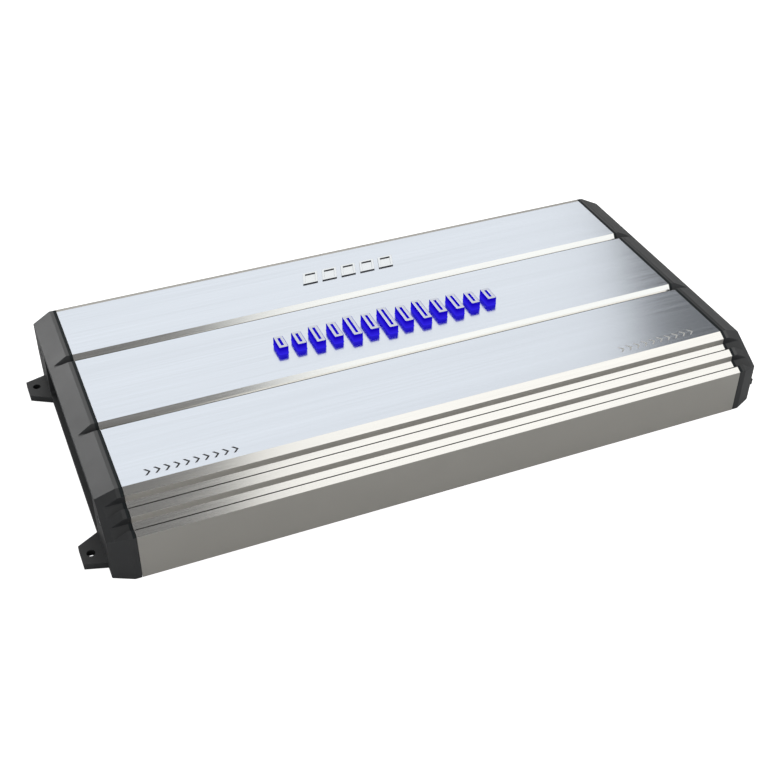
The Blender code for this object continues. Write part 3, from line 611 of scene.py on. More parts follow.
# The cap coats' much lighter edges are a painted highlight along the edges, as well as wear.
CAP_COAT = Finish("cap_powder_coat", (0.033, 0.035, 0.037), 0.48, 0.0, grain=0.10,
                  grain_scale=2200.0, grain_bump=0.000010, wear_and_highlight=0.30,
                  wear_and_highlight_colour=(0.20, 0.21, 0.215), dust=0.05)
# Painted light: a lighter, glossier copy of the cap coat for the caps' upward faces.
CAP_TOP_LIT = Finish("cap_top_coat_painted_light", (0.036, 0.038, 0.040), 0.34, 0.0, grain=0.10,
                 grain_scale=2200.0, grain_bump=0.000008, wear_and_highlight=0.30,
                 wear_and_highlight_colour=(0.20, 0.21, 0.215), dust=0.05, specular=0.7)
PANEL_BLACK = Finish("panel_black_paint", (0.018, 0.018, 0.019), 0.40, 0.0, grain=0.10,
                     grain_scale=2400.0, grain_bump=0.000006, dust=0.04)
COVER_BLACK = Finish("cover_black_zinc", (0.035, 0.035, 0.037), 0.36, 0.5, grain=0.12,
                     grain_scale=1800.0, grain_bump=0.000006, wear_and_highlight=0.25)
MOULDED_BLACK = Finish("moulded_black", (0.016, 0.016, 0.017), 0.44, 0.0, grain=0.10,
                       grain_scale=1900.0, grain_bump=0.000010, wear_and_highlight=0.18,
                       wear_and_highlight_colour=(0.09, 0.09, 0.09))
KNOB_GREY = Finish("moulded_knob_grey", (0.30, 0.31, 0.32), 0.42, 0.0, grain=0.08,
                   grain_scale=1900.0, grain_bump=0.000008, wear_and_highlight=0.15,
                   wear_and_highlight_colour=(0.5, 0.5, 0.5))
MARK_WHITE = Finish("printed_white", (0.78, 0.78, 0.76), 0.55, 0.0, grain=0.08,
                    grain_scale=3000.0)
MARK_DARK = Finish("printed_dark", (0.030, 0.032, 0.036), 0.45, 0.0, grain=0.10,
                   grain_scale=3000.0)
NICKEL = Finish("nickel_plate", (0.66, 0.63, 0.58), 0.20, 1.0, grain=0.08,
                grain_scale=1600.0, wear_and_highlight=0.20, wear_and_highlight_colour=(0.85, 0.83, 0.80))
GOLD = Finish("gold_plate", (0.86, 0.60, 0.22), 0.20, 1.0, grain=0.08, grain_scale=1600.0,
              wear_and_highlight=0.2, wear_and_highlight_colour=(0.95, 0.80, 0.5))
ZINC = Finish("zinc_plate", (0.60, 0.61, 0.63), 0.30, 1.0, grain=0.12, grain_scale=900.0,
              wear_and_highlight=0.25, wear_and_highlight_colour=(0.8, 0.8, 0.8))
RING_RED = Finish("insulator_red", (0.42, 0.012, 0.012), 0.32, 0.0, grain=0.06,
                  grain_scale=1800.0, coat=0.2)
RING_WHITE = Finish("insulator_white", (0.72, 0.72, 0.70), 0.32, 0.0, grain=0.06,
                    grain_scale=1800.0, coat=0.2)
BOARD_MASK = Finish("board_solder_mask", (0.012, 0.085, 0.040), 0.34, 0.0, grain=0.30,
                    grain_scale=420.0, coat=0.4)
SLEEVE = Finish("capacitor_sleeve_blue", (0.012, 0.020, 0.085), 0.30, 0.0, grain=0.08,
                grain_scale=900.0, coat=0.3)
EPOXY = Finish("transistor_epoxy_black", (0.014, 0.014, 0.014), 0.50, 0.0, grain=0.14,
               grain_scale=1700.0, grain_bump=0.000010)
FUSE_BODY = Finish("fuse_orange_tint", (0.80, 0.24, 0.03), 0.18, 0.0, grain=0.05,
                   grain_scale=1400.0, coat=0.3, see_through=0.25)
LENS = Finish("indicator_lens_green", (0.05, 0.45, 0.10), 0.15, 0.0, grain=0.05,
              grain_scale=2000.0, coat=0.4, glow=0.9, glow_colour=(0.05, 0.85, 0.15))
GUIDE = GlowingGuide("light_guide_lit", (0.004, 0.002, 0.14), 0.32, 0.0, grain=0.06,
                     grain_scale=900.0, specular=0.0, glow=1.0,
                     glow_colour=(0.006, 0.0, 0.42))
BAR_CAP = Finish("bar_cap_satin", (0.66, 0.69, 0.77), 0.20, 1.0, brushed=0.06,
                 brushed_scale=1800.0, grain=0.05, grain_scale=2600.0, wear_and_highlight=0.3,
                 wear_and_highlight_colour=(0.95, 0.95, 0.97))
TRIM_CHROME = Finish("trim_satin_chrome", (0.82, 0.85, 0.87), 0.14, 1.0, grain=0.05,
                     grain_scale=2400.0)
# Painted shade: a near-black finish for the sides of the chrome trim frames.
TRIM_SIDE = Finish("trim_side_painted_shade", (0.055, 0.055, 0.060), 0.35, 0.6, grain=0.05,
                   grain_scale=2400.0)


# ======================================================================================
# Modelling
# ======================================================================================
def looking(direction: Point) -> FaceTest:
    """Return a test for faces that look along a direction."""
    along = Vector(direction)
    return lambda middle, normal: normal.dot(along) > 0.9


def stands_upright(first: Vector, last: Vector) -> bool:
    """Tell whether an edge runs up and down."""
    return abs(first.z - last.z) > 0.0005


def rest_all() -> None:
    """Leave edit mode and deselect every object."""
    if bpy.context.mode != "OBJECT":
        bpy.ops.object.mode_set(mode="OBJECT")
    bpy.ops.object.select_all(action="DESELECT")


class Workpiece:
    """One mesh on the bench, shaped with edit-mode operators and modifiers."""

    def __init__(self, piece: bpy.types.Object, name: str) -> None:
        self.piece = piece
        piece.name = name
        piece.data.name = name

    # --- starts ---------------------------------------------------------------------
    @classmethod
    def box(cls, name: str, low: Sequence[float], high: Sequence[float]) -> "Workpiece":
        """Start from a cube primitive that spans two corners.

        Args:
            name: the piece's name.
            low: the lowest corner.
            high: the highest corner.

        Returns:
            The new workpiece.
        """
        rest_all()
        low_corner, high_corner = Vector(low), Vector(high)
        bpy.ops.mesh.primitive_cube_add(size=1.0, location=(low_corner + high_corner) / 2,
                                        scale=high_corner - low_corner)
        return cls._settled(name)

    @classmethod
    def rod(cls, name: str, start: Sequence[float], end: Sequence[float], radius: float,
            vertices: int = 32) -> "Workpiece":
        """Start from a cylinder primitive between two points.

        Args:
            name: the piece's name.
            start: the middle of one end.
            end: the middle of the other end.
            radius: the radius.
            vertices: corners round the edge.

        Returns:
            The new workpiece.
        """
        rest_all()
        first, last = Vector(start), Vector(end)
        turn = (last - first).to_track_quat("Z", "X").to_euler()
        bpy.ops.mesh.primitive_cylinder_add(vertices=vertices, radius=radius,
                                            depth=(last - first).length,
                                            location=(first + last) / 2, rotation=turn)
        return cls._settled(name)

    @classmethod
    def from_node(cls, node: str, name: str) -> "Workpiece":
        """Start from a merged copy of a CAD node, with its flat faces made whole again.

        Args:
            node: the node that is copied.
            name: the copy's name.

        Returns:
            The new workpiece.
        """
        rest_all()
        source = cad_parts[node]
        piece = bpy.data.objects.new(name, source.data.copy())
        bpy.context.scene.collection.objects.link(piece)
        piece.data.materials.clear()
        piece.select_set(True)
        bpy.context.view_layer.objects.active = piece
        work = cls(piece, name)
        bpy.ops.object.mode_set(mode="EDIT")
        bpy.ops.mesh.select_all(action="SELECT")
        bpy.ops.mesh.remove_doubles(threshold=MERGE)
        bpy.ops.mesh.dissolve_limited(angle_limit=math.radians(0.3))
        bpy.ops.object.mode_set(mode="OBJECT")
        return work

    @classmethod
    def _settled(cls, name: str) -> "Workpiece":
        """Put the place of the newest primitive into its mesh."""
        bpy.ops.object.transform_apply(location=True, rotation=True, scale=True)
        return cls(bpy.context.object, name)

    # --- choosing ---------------------------------------------------------------------
    def _focus(self, mode: str) -> bmesh.types.BMesh:
        """Enter edit mode on this piece with nothing selected.

        Args:
            mode: what is picked: VERT, EDGE or FACE.

        Returns:
            The mesh in edit mode.
        """
        if bpy.context.mode != "OBJECT":
            bpy.ops.object.mode_set(mode="OBJECT")
        bpy.ops.object.select_all(action="DESELECT")
        self.piece.select_set(True)
        bpy.context.view_layer.objects.active = self.piece
        bpy.ops.object.mode_set(mode="EDIT")
        bpy.context.tool_settings.mesh_select_mode = (mode == "VERT", mode == "EDGE",
                                                      mode == "FACE")
        bpy.ops.mesh.select_all(action="DESELECT")
        return bmesh.from_edit_mesh(self.piece.data)

    def faces(self, test: FaceTest) -> "Workpiece":
        """Select faces.

        Args:
            test: tells from a face's middle and normal whether it is picked.

        Returns:
            This workpiece.
        """
        mesh = self._focus("FACE")
        for item in mesh.faces:
            item.select_set(test(item.calc_center_median(), item.normal))
        bmesh.update_edit_mesh(self.piece.data)
        return self

    def edges(self, test: EdgeTest) -> "Workpiece":
        """Select edges.

        Args:
            test: tells from an edge's two ends whether it is picked.

        Returns:
            This workpiece.
        """
        mesh = self._focus("EDGE")
        for item in mesh.edges:
            item.select_set(test(item.verts[0].co, item.verts[1].co))
        bmesh.update_edit_mesh(self.piece.data)
        return self

    def everything(self) -> "Workpiece":
        """Select the whole piece.

        Returns:
            This workpiece.
        """
        self._focus("FACE")
        bpy.ops.mesh.select_all(action="SELECT")
        return self

    # --- shaping ----------------------------------------------------------------------
    def extrude(self, offset: Sequence[float]) -> "Workpiece":
        """Extrude the selected faces and move them."""
        bpy.ops.mesh.extrude_region_move(TRANSFORM_OT_translate={"value": tuple(offset)})
        return self

    def move(self, offset: Sequence[float]) -> "Workpiece":
        """Move what is selected."""
        bpy.ops.transform.translate(value=tuple(offset))
        return self

    def inset(self, width: float, depth: float = 0.0) -> "Workpiece":
        """Inset the selected faces, and push them in by depth."""
        bpy.ops.mesh.inset(thickness=width, depth=depth, use_even_offset=True)
        return self

    def inset_each(self, width: float, depth: float) -> "Workpiece":
        """Inset each selected face on its own, and raise it by depth."""
        bpy.ops.mesh.inset(thickness=width, depth=depth, use_individual=True)
        return self

    def turn(self, angle: float, axis: str, centre: Point) -> "Workpiece":
        """Turn the whole piece.

        Args:
            angle: the angle.
            axis: X, Y or Z.
            centre: a point on the axis.

        Returns:
            This workpiece.
        """
        self.everything()
        bpy.ops.transform.rotate(value=angle, orient_axis=axis, center_override=centre)
        return self

    def round_picked(self, width: float, segments: int = 2) -> "Workpiece":
        """Bevel the selected edges.

        Args:
            width: the width of the bevel.
            segments: the steps across it.

        Returns:
            This workpiece.
        """
        bpy.ops.mesh.bevel(offset=width, segments=segments, affect="EDGES",
                           clamp_overlap=True)
        return self

    def trim(self, at: Sequence[float], facing: Sequence[float]) -> "Workpiece":
        """Cut the whole piece with a plane, and close the cut.

        Args:
            at: a point of the plane.
            facing: its normal, which points at the side that is dropped.

        Returns:
            This workpiece.
        """
        self.everything()
        bpy.ops.mesh.bisect(plane_co=tuple(at), plane_no=tuple(facing), use_fill=True,
                            clear_outer=True)
        return self

    def score(self, at: Sequence[float], facing: Sequence[float]) -> "Workpiece":
        """Draw a line round the piece where a plane meets it, without cutting it.

        Args:
            at: a point of the plane.
            facing: its normal.

        Returns:
            This workpiece.
        """
        self.everything()
        bpy.ops.mesh.bisect(plane_co=tuple(at), plane_no=tuple(facing))
        return self

    def modifier(self, kind: str, **settings: object) -> "Workpiece":
        """Add a modifier, and apply it.

        Args:
            kind: the modifier's type.
            settings: its settings.

        Returns:
            This workpiece.
        """
        rest_all()
        self.piece.select_set(True)
        bpy.context.view_layer.objects.active = self.piece
        added = self.piece.modifiers.new(kind.lower(), kind)
        for label, value in settings.items():
            setattr(added, label, value)
        bpy.ops.object.modifier_apply(modifier=added.name)
        return self

    def soften(self, width: float, segments: int = 2, angle: float = 30.0,
               edge_finish: Optional[Finish] = None) -> "Workpiece":
        """Round every sharp edge.

        Args:
            width: the width of the rounding.
            segments: the steps across it.
            angle: how sharp an edge has to be, in degrees.
            edge_finish: one of the piece's finishes, for the rounding alone.

        Returns:
            This workpiece.
        """
        index = self.piece.data.materials.find(edge_finish.name) if edge_finish else -1
        return self.modifier("BEVEL", width=width, segments=segments, limit_method="ANGLE",
                             angle_limit=math.radians(angle), material=index,
                             use_clamp_overlap=True, harden_normals=False)

    def cut(self, tools: Iterable["Workpiece"]) -> "Workpiece":
        """Cut tools out of this piece, and throw the tools away."""
        return self._combine(tools, "DIFFERENCE")

    def join(self, tools: Iterable["Workpiece"]) -> "Workpiece":
        """Join tools to this piece as one body, and throw the tools away."""
        return self._combine(tools, "UNION")

    def _combine(self, tools: Iterable["Workpiece"], operation: str) -> "Workpiece":
        """Combine this piece with each tool in turn, and throw the tools away.

        Args:
            tools: the other pieces.
            operation: DIFFERENCE or UNION.

        Returns:
            This workpiece.
        """
        for tool in tools:
            self.modifier("BOOLEAN", operation=operation, object=tool.piece)
            bpy.data.objects.remove(tool.piece, do_unlink=True)
        return self

    def gather(self, others: Iterable["Workpiece"]) -> "Workpiece":
        """Take other pieces into this one, as separate bodies of one piece.

        Args:
            others: the other pieces.

        Returns:
            This workpiece.
        """
        rest_all()
        for other in others:
            other.piece.select_set(True)
        self.piece.select_set(True)
        bpy.context.view_layer.objects.active = self.piece
        bpy.ops.object.join()
        return self

    def copy(self, name: str, offset: Sequence[float]) -> "Workpiece":
        """Make a moved copy with its own mesh.

        Args:
            name: the copy's name.
            offset: how far it is moved.

        Returns:
            The copy.
        """
        rest_all()
        piece = self.piece.copy()
        piece.data = self.piece.data.copy()
        piece.data.transform(Matrix.Translation(Vector(offset)))
        bpy.context.scene.collection.objects.link(piece)
        return Workpiece(piece, name)

    # --- finishing --------------------------------------------------------------------
    def paint(self, *finishes: Finish) -> "Workpiece":
        """Give the piece its finishes.

        Args:
            finishes: the finishes. The first one covers all of it.

        Returns:
            This workpiece.
        """
        if bpy.context.mode != "OBJECT":
            bpy.ops.object.mode_set(mode="OBJECT")
        for finish in finishes:
            self.piece.data.materials.append(finish.material())
        return self

    def repaint(self, finish: Finish, test: FaceTest) -> "Workpiece":
        """Put some faces in another of the piece's finishes.

        Args:
            finish: the finish.
            test: tells from a face's middle and normal whether it gets it.

        Returns:
            This workpiece.
        """
        index = self.piece.data.materials.find(finish.name)
        for item in self.piece.data.polygons:
            if test(item.center, item.normal):
                item.material_index = index
        return self

    def smooth(self, angle: float = 30.0) -> "Workpiece":
        """Shade smooth, with sharp edges kept crisp and flat faces flat.

        Args:
            angle: how sharp an edge has to be to stay crisp, in degrees.

        Returns:
            This workpiece.
        """
        rest_all()
        self.piece.select_set(True)
        bpy.context.view_layer.objects.active = self.piece
        bpy.ops.object.shade_smooth_by_angle(angle=math.radians(angle))
        return self.modifier("WEIGHTED_NORMAL", keep_sharp=True, weight=100)

    def place(self, body: str, slot: str, replaces: Sequence[str] = ()) -> "Workpiece":
        """Hand the finished piece to the model.

        Args:
            body: the CAD body that it moves with.
            slot: the record's material slot; not used.
            replaces: the CAD nodes that it stands for.

        Returns:
            This workpiece.
        """
        if bpy.context.mode != "OBJECT":
            bpy.ops.object.mode_set(mode="OBJECT")
        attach(self.piece, body)
        if replaces:
            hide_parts(*replaces)
        LOG.info("made %s on %s", self.piece.name, body)
        return self


def dress_node(node: str, finish: Finish) -> None:
    """Keep a CAD node and give it a finish.

    Args:
        node: the node.
        finish: its finish.
    """
    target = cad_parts[node]
    target.data.materials.clear()
    target.data.materials.append(finish.material())
    LOG.info("dressed %s in %s", node, finish.name)


def middle_of(node: str) -> Vector:
    """Return the middle of a CAD node's box."""
    low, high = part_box(node)
    return (low + high) / 2


def spread(middle: float, pitch: float, count: int) -> list[float]:
    """Return evenly spaced positions about a middle."""
    return [middle + pitch * (index - (count - 1) / 2) for index in range(count)]


# ======================================================================================
# Sub-assemblies
# ======================================================================================
@dataclass
class HeatsinkShell:
    """The ribbed aluminium extrusion that is the top, the front and the rear."""

    edge: float = 0.00035
    skin: float = 0.0006            # how near a face is to a limit to count as being on it
    front_wall_top: float = 0.0364
    slope_top_y: float = -0.0967
    inside_top: float = 0.028       # below this, what is within the walls is inside
    slot_bottom: float = 0.030
    wall: float = 0.0022            # how far in from the outside a face counts as inside
    rear_edge_depth: float = 0.0045
    groove_depth: float = 0.0043
    chamfer: float = 0.0039
    line: float = 0.0007            # width of the painted shade, a dark line, along each rear-facing edge
    ridges: tuple[float, ...] = (-0.0331, 0.0531, -0.1235, -0.1100)
    rear_shade_strip: float = 0.0026      # width of the grey strip of painted shade along the top's rear edge

    def build(self) -> None:
        """Copy the extrusion, give it its finishes and round its edges."""
        self.shell = Workpiece.from_node("heatsink", "heatsink_shell")
        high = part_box("heatsink")[1]
        self.top, self.half_depth, self.half_length = high.z, high.y, high.x
        self.shade_strip_start = self.half_depth - self.chamfer - self.rear_shade_strip
        for start in (*(ridge - self.line for ridge in self.ridges), self.shade_strip_start):
            self.shell.score((0.0, start, 0.0), (0.0, 1.0, 0.0))
        self.shell.paint(MILL_ALUMINIUM, BRUSHED_BAND, POLISHED_FACET, GUNMETAL, MACHINED_EDGE,
                         EDGE_SHADE, SLOT_WALL_LIT)
        self.shell.repaint(BRUSHED_BAND, self._is_band).repaint(POLISHED_FACET, self._is_polished)
        # Painted light: the slot walls get the lighter copy of the anodising.
        self.shell.repaint(GUNMETAL, self._is_wall).repaint(SLOT_WALL_LIT, self._is_slot_wall)
        # Painted shade: a dark line on the top in front of each rear-facing ridge.
        self.shell.repaint(EDGE_SHADE, self._is_painted_shade_line)
        # Painted shade: a grey strip on the brushed top along its rear edge.
        self.shell.repaint(GUNMETAL, self._is_rear_shade_strip)
        self.shell.soften(self.edge, segments=2, angle=20.0, edge_finish=MACHINED_EDGE)
        # Painted shade: the rounded rear-facing ridge edges are made dark too.
        self.shell.repaint(EDGE_SHADE, self._is_rear_edge)
        self.shell.repaint(MILL_ALUMINIUM, self._is_hidden)

    def dress(self) -> None:
        """Smooth the shell and hand it over."""
        self.shell.smooth(25.0).place(HOUSING, "heatsink_aluminium", ["heatsink"])

    def _is_band(self, middle: Vector, normal: Vector) -> bool:
        """The broad flat bands of the top."""
        return normal.z > 0.98 and middle.z > self.top - self.skin

    def _is_rear_shade_strip(self, middle: Vector, normal: Vector) -> bool:
        """The narrow strip of the top next to the rear edge, painted grey as painted shade."""
        on_top = normal.z > 0.9 and middle.z > self.top - self.skin
        return on_top and middle.y > self.shade_strip_start

    def _is_polished(self, middle: Vector, normal: Vector) -> bool:
        """The groove walls and floors, and the sloping facets and slot floors."""
        outside = middle.z > self.top - self.groove_depth - self.skin
        in_groove = outside and middle.z < self.top - self.skin and normal.z > 0.3
        on_slope = (middle.y < self.slope_top_y and normal.z > 0.5 and
                    middle.z > self.inside_top)
        return (in_groove and abs(middle.x) < self.half_length - self.skin) or on_slope

    def _is_wall(self, middle: Vector, normal: Vector) -> bool:
        """The front and rear walls."""
        front = normal.y < -0.9 and middle.y < -self.half_depth + self.skin
        rear = middle.y > self.half_depth - self.rear_edge_depth and normal.y > 0.2
        return front or rear

    def _is_slot_wall(self, middle: Vector, normal: Vector) -> bool:
        """The upright walls of the front slots, which get a lighter copy of the anodising as
        painted light.
        """
        upright = abs(normal.y) > 0.9 and abs(middle.x) < self.half_length - self.skin
        on_slope = -self.half_depth + self.skin < middle.y < self.slope_top_y
        return upright and on_slope and middle.z > self.slot_bottom

    def _is_painted_shade_line(self, middle: Vector, normal: Vector) -> bool:
        """The thin strips in front of the ridges that face the rear, where shade is painted as a
        dark line.
        """
        on_top = normal.z > 0.8 and middle.z > self.front_wall_top
        return on_top and any(ridge - self.line < middle.y < ridge for ridge in self.ridges)

    def _is_rear_edge(self, middle: Vector, normal: Vector) -> bool:
        """The rounded edges of the ridges that face the rear, which carry the same painted shade.
        """
        near = any(abs(middle.y - ridge) < self.edge for ridge in self.ridges)
        return near and 0.15 < normal.y < 0.99 and middle.z > self.front_wall_top

    def _is_hidden(self, middle: Vector, normal: Vector) -> bool:
        """Anything inside the walls, and the lower edges."""
        inside = abs(middle.y) < self.half_depth - self.wall and middle.z < self.inside_top
        return inside or middle.z < self.skin


@dataclass
class RearTrim:
    """A row of raised chrome frames, slanted like a row of louvres, on the rear band."""

    count: int = 5
    pitch: float = 0.0166
    width: float = 0.0126
    depth: float = 0.0150
    lean: float = 0.0048
    height: float = 0.0009
    middle_y: float = 0.0930
    border: float = 0.0019
    recess: float = 0.0008

    def build(self) -> None:
        """Model one frame, then copy it along the band."""
        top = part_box("heatsink")[1].z
        places = spread(-self.lean / 2, self.pitch, self.count)
        start = places[0]
        low = (start - self.width / 2, self.middle_y - self.depth / 2, top - 0.0001)
        high = (start + self.width / 2, self.middle_y + self.depth / 2, top + self.height)
        first = Workpiece.box("rear_trim", low, high)
        first.faces(looking(TO_REAR)).move((self.lean, 0.0, 0.0))
        first.faces(looking(UP)).inset(self.border)
        first.extrude((0.0, 0.0, -self.recess))
        first.paint(TRIM_CHROME, TRIM_SIDE)
        # Painted shade: the frames' sides are made near black.
        first.repaint(TRIM_SIDE, lambda middle, normal: normal.z < 0.5)
        first.soften(0.00015, segments=2, angle=40.0)
        others = [first.copy(f"rear_trim_{x:.4f}", (x - start, 0.0, 0.0)) for x in places[1:]]
        self.trim = first.gather(others)

    def dress(self) -> None:
        """Hand the row over."""
        self.trim.smooth().place(HOUSING, "heatsink_aluminium")


@dataclass
class PrintedRow:
    """A row of printed arrowheads on the front band."""

    name: str
    first_x: float
    finish: Finish
    count: int = 10
    pitch: float = 0.0068
    point: float = 0.0028
    middle_y: float = -0.0885
    stroke: float = 0.0015
    height: float = 0.0062

    def build(self) -> None:
        """Bend one stroke into an arrowhead, then copy it along the row."""
        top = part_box("heatsink")[1].z
        half = self.height / 2
        first = Workpiece.box(self.name, (self.first_x, self.middle_y - half, top - PRINT_LIFT),
                              (self.first_x + self.stroke, self.middle_y + half,
                               top + PRINT_LIFT))
        first.score((0.0, self.middle_y, 0.0), (0.0, 1.0, 0.0))
        first.edges(lambda a, b: max(abs(a.y - self.middle_y), abs(b.y - self.middle_y)) < MERGE)
        first.move((self.point, 0.0, 0.0))
        copies = [first.copy(f"{self.name}_{index}", (index * self.pitch, 0.0, 0.0))
                  for index in range(1, self.count)]
        self.row = first.gather(copies)

    def dress(self) -> None:
        """Ink the row."""
        self.row.paint(self.finish).place(HOUSING, "heatsink_aluminium")


@dataclass
class LightBadge:
    """Blue bars of lit acrylic that stand up through the middle band, with satin caps."""

    cap_height: float = 0.0004
    rim: float = 0.00045            # acrylic left showing round each cap
    edge: float = 0.00018
    window: float = 0.0022          # width of the opening along the middle of each cap
    window_end: float = 0.0030
    window_depth: float = 0.0026
    corner: float = 0.0006

    def build(self) -> None:
        """Lower the light guide by its caps' height, and build a cap on each bar."""
        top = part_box("badge_light_guide")[1].z
        seam = top - self.cap_height
        self.guide = Workpiece.from_node("badge_light_guide", "badge_light_guide_lit")
        self.guide.trim((0.0, 0.0, seam), (0.0, 0.0, 1.0))
        bars = self._bars(seam)
        windows = self._row("window", bars, self.window_end, seam - self.window_depth,
                            top + self.cap_height, self.window)
        self.caps = self._row("badge_bar_caps", bars, self.rim, seam, top)
        self.caps.edges(lambda a, b: abs(a.z - b.z) > self.cap_height / 2)
        self.caps.round_picked(self.corner, 3)
        self.caps.cut([windows.copy("cap_windows", (0.0, 0.0, 0.0))])
        self.guide.cut([windows])

    def _bars(self, seam: float) -> list[tuple[Vector, Vector]]:
        """Find each bar's flat top.

        Args:
            seam: the height of the tops.

        Returns:
            The lowest and highest corner of each.
        """
        rest_all()
        mesh = self.guide.piece.data
        bars = []
        for item in mesh.polygons:
            if item.normal.z > 0.9 and item.center.z > seam - MERGE:
                along = list(zip(*(mesh.vertices[index].co for index in item.vertices)))
                bars.append((Vector([min(values) for values in along]),
                             Vector([max(values) for values in along])))
        return bars

    @staticmethod
    def _row(name: str, bars: Sequence[tuple[Vector, Vector]], margin: float, low_z: float,
             high_z: float, width: float = 0.0) -> Workpiece:
        """Build one box over each bar.

        Args:
            name: the row's name.
            bars: the corners of each bar's top.
            margin: how far inside the bar's ends the box stays.
            low_z: the height of the boxes' underside.
            high_z: the height of their top.
            width: the boxes' width, or 0 for the bar's width less the margin.

        Returns:
            The boxes as one workpiece.
        """
        boxes = []
        for low, high in bars:
            middle, half = (low.x + high.x) / 2, (high.x - low.x) / 2 - margin
            if width:
                half = width / 2
            boxes.append(Workpiece.box(f"{name}_{middle:.4f}",
                                       (middle - half, low.y + margin, low_z),
                                       (middle + half, high.y - margin, high_z)))
        boxes[0].piece.name = name
        return boxes[0].gather(boxes[1:])

    def dress(self) -> None:
        """Light the guide and plate the caps."""
        self.guide.paint(GUIDE).soften(self.edge, angle=50.0).smooth()
        self.guide.place(HOUSING, "light_guide_blue", ["badge_light_guide"])
        self.caps.paint(BAR_CAP).soften(self.edge / 2, segments=1, angle=50.0).smooth()
        self.caps.place(HOUSING, "nickel")


@dataclass
class EndCap:
    """A tapered, powder-coated end cap with its two ears and its two screws."""

    side: str
    edge: float = 0.0005
    lip: float = 0.0024             # width of the matte strip next to the bands
    top_start: float = 0.045        # the top's lighter copy of the coat, painted light, is used above this
    lip_start: float = 0.03

    def build(self) -> None:
        """Copy the cap and its screws and round their edges."""
        self.cap = Workpiece.from_node(f"end_cap_{self.side}", f"end_cap_{self.side}_shell")
        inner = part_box("heatsink")[1].x
        side = 1.0 if self.side == "right" else -1.0
        self.cap.score((side * (inner + self.lip), 0.0, 0.0), (1.0, 0.0, 0.0))
        self.cap.paint(CAP_COAT, CAP_LIP, CAP_TOP_LIT)
        # Painted light: the upward faces get the lighter copy of the coat.
        self.cap.repaint(CAP_TOP_LIT, lambda middle, normal: normal.z > 0.85 and
                         middle.z > self.top_start)
        self.cap.repaint(CAP_LIP, lambda middle, normal: abs(middle.x) < inner + self.lip and
                         normal.z > 0.3 and middle.z > self.lip_start)
        self.cap.soften(self.edge, segments=2, angle=20.0)
        self.screws = {}
        for row in ("front", "rear"):
            node = f"cap_screw_{self.side}_{row}"
            screw = Workpiece.from_node(node, f"{node}_plated")
            self.screws[node] = screw.paint(ZINC).soften(0.00015, angle=35.0)

    def dress(self) -> None:
        """Smooth them and hand them over."""
        self.cap.smooth(25.0)
        self.cap.place(HOUSING, "cap_grey", [f"end_cap_{self.side}"])
        for node, screw in self.screws.items():
            screw.smooth().place(HOUSING, "zinc_steel", [node])


@dataclass
class BottomCover:
    """The steel sheet under the housing, with pressed panels and its screws."""

    pressed_depth: float = 0.0005
    pressed_rows: int = 3
    pressed_gap: float = 0.016
    margin: float = 0.022
    screw_radius: float = 0.0030
    head_chamfer: float = 0.0013
    hexagon: float = 0.0015         # radius of the screws' sockets
    corner: float = 0.003
    pressed_corner: float = 0.006
    screw_columns: int = 5
    screw_height: float = 0.0005
    screw_y: float = 0.1195

    def build(self) -> None:
        """Press the panels into the sheet and set the screws along both sides."""
        low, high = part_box("bottom_plate")
        self.sheet = Workpiece.box("bottom_cover", low, high)
        self.sheet.edges(stands_upright).round_picked(self.corner, 4)
        span = (high.y - low.y - 2 * self.margin + self.pressed_gap) / self.pressed_rows
        for row in range(self.pressed_rows):
            near = low.y + self.margin + row * span
            self._press((low.x + self.margin, near), (high.x - self.margin,
                                                      near + span - self.pressed_gap), low.z)
        self.sheet.soften(0.0002, angle=35.0)
        first_x = low.x + self.margin / 2
        pitch = (high.x - low.x - self.margin) / (self.screw_columns - 1)
        self.screws = self._screws(first_x, pitch, low.z)

    def _press(self, low: tuple[float, float], high: tuple[float, float], face: float) -> None:
        """Press one shallow rectangle with round corners upwards into the sheet.

        Args:
            low: the rectangle's lowest corner.
            high: its highest corner.
            face: the height of the sheet's underside.
        """
        tool = Workpiece.box("press", (*low, face - 0.001), (*high, face + self.pressed_depth))
        tool.edges(stands_upright).round_picked(self.pressed_corner, 5)
        self.sheet.cut([tool])

    def _screws(self, first_x: float, pitch: float, face: float) -> Workpiece:
        """Low-headed screws with hexagon sockets, copied from one.

        Args:
            first_x: the place of the first pair.
            pitch: the distance between pairs.
            face: the height of the sheet's underside.

        Returns:
            The screws as one workpiece.
        """
        low_z = face - self.screw_height
        screw = Workpiece.rod("bottom_screws", (first_x, -self.screw_y, face),
                              (first_x, -self.screw_y, low_z), self.screw_radius, 24)
        screw.faces(looking(DOWN)).inset(self.head_chamfer)
        screw.cut([Workpiece.rod("hex", (first_x, -self.screw_y, low_z - 0.001),
                                 (first_x, -self.screw_y, face - 0.0001), self.hexagon, 6)])
        screw.soften(0.00012, angle=35.0)
        copies = []
        for column in range(self.screw_columns):
            for y in (-self.screw_y, self.screw_y):
                offset = (column * pitch, y + self.screw_y, 0.0)
                if column or y > 0:
                    copies.append(screw.copy(f"bottom_screw_{column}_{y:.3f}", offset))
        return screw.gather(copies)

    def dress(self) -> None:
        """Coat the sheet and plate the screws."""
        self.sheet.paint(COVER_BLACK).smooth()
        self.sheet.place(HOUSING, "black_steel", ["bottom_plate"])
        self.screws.paint(ZINC).smooth().place(HOUSING, "zinc_steel")


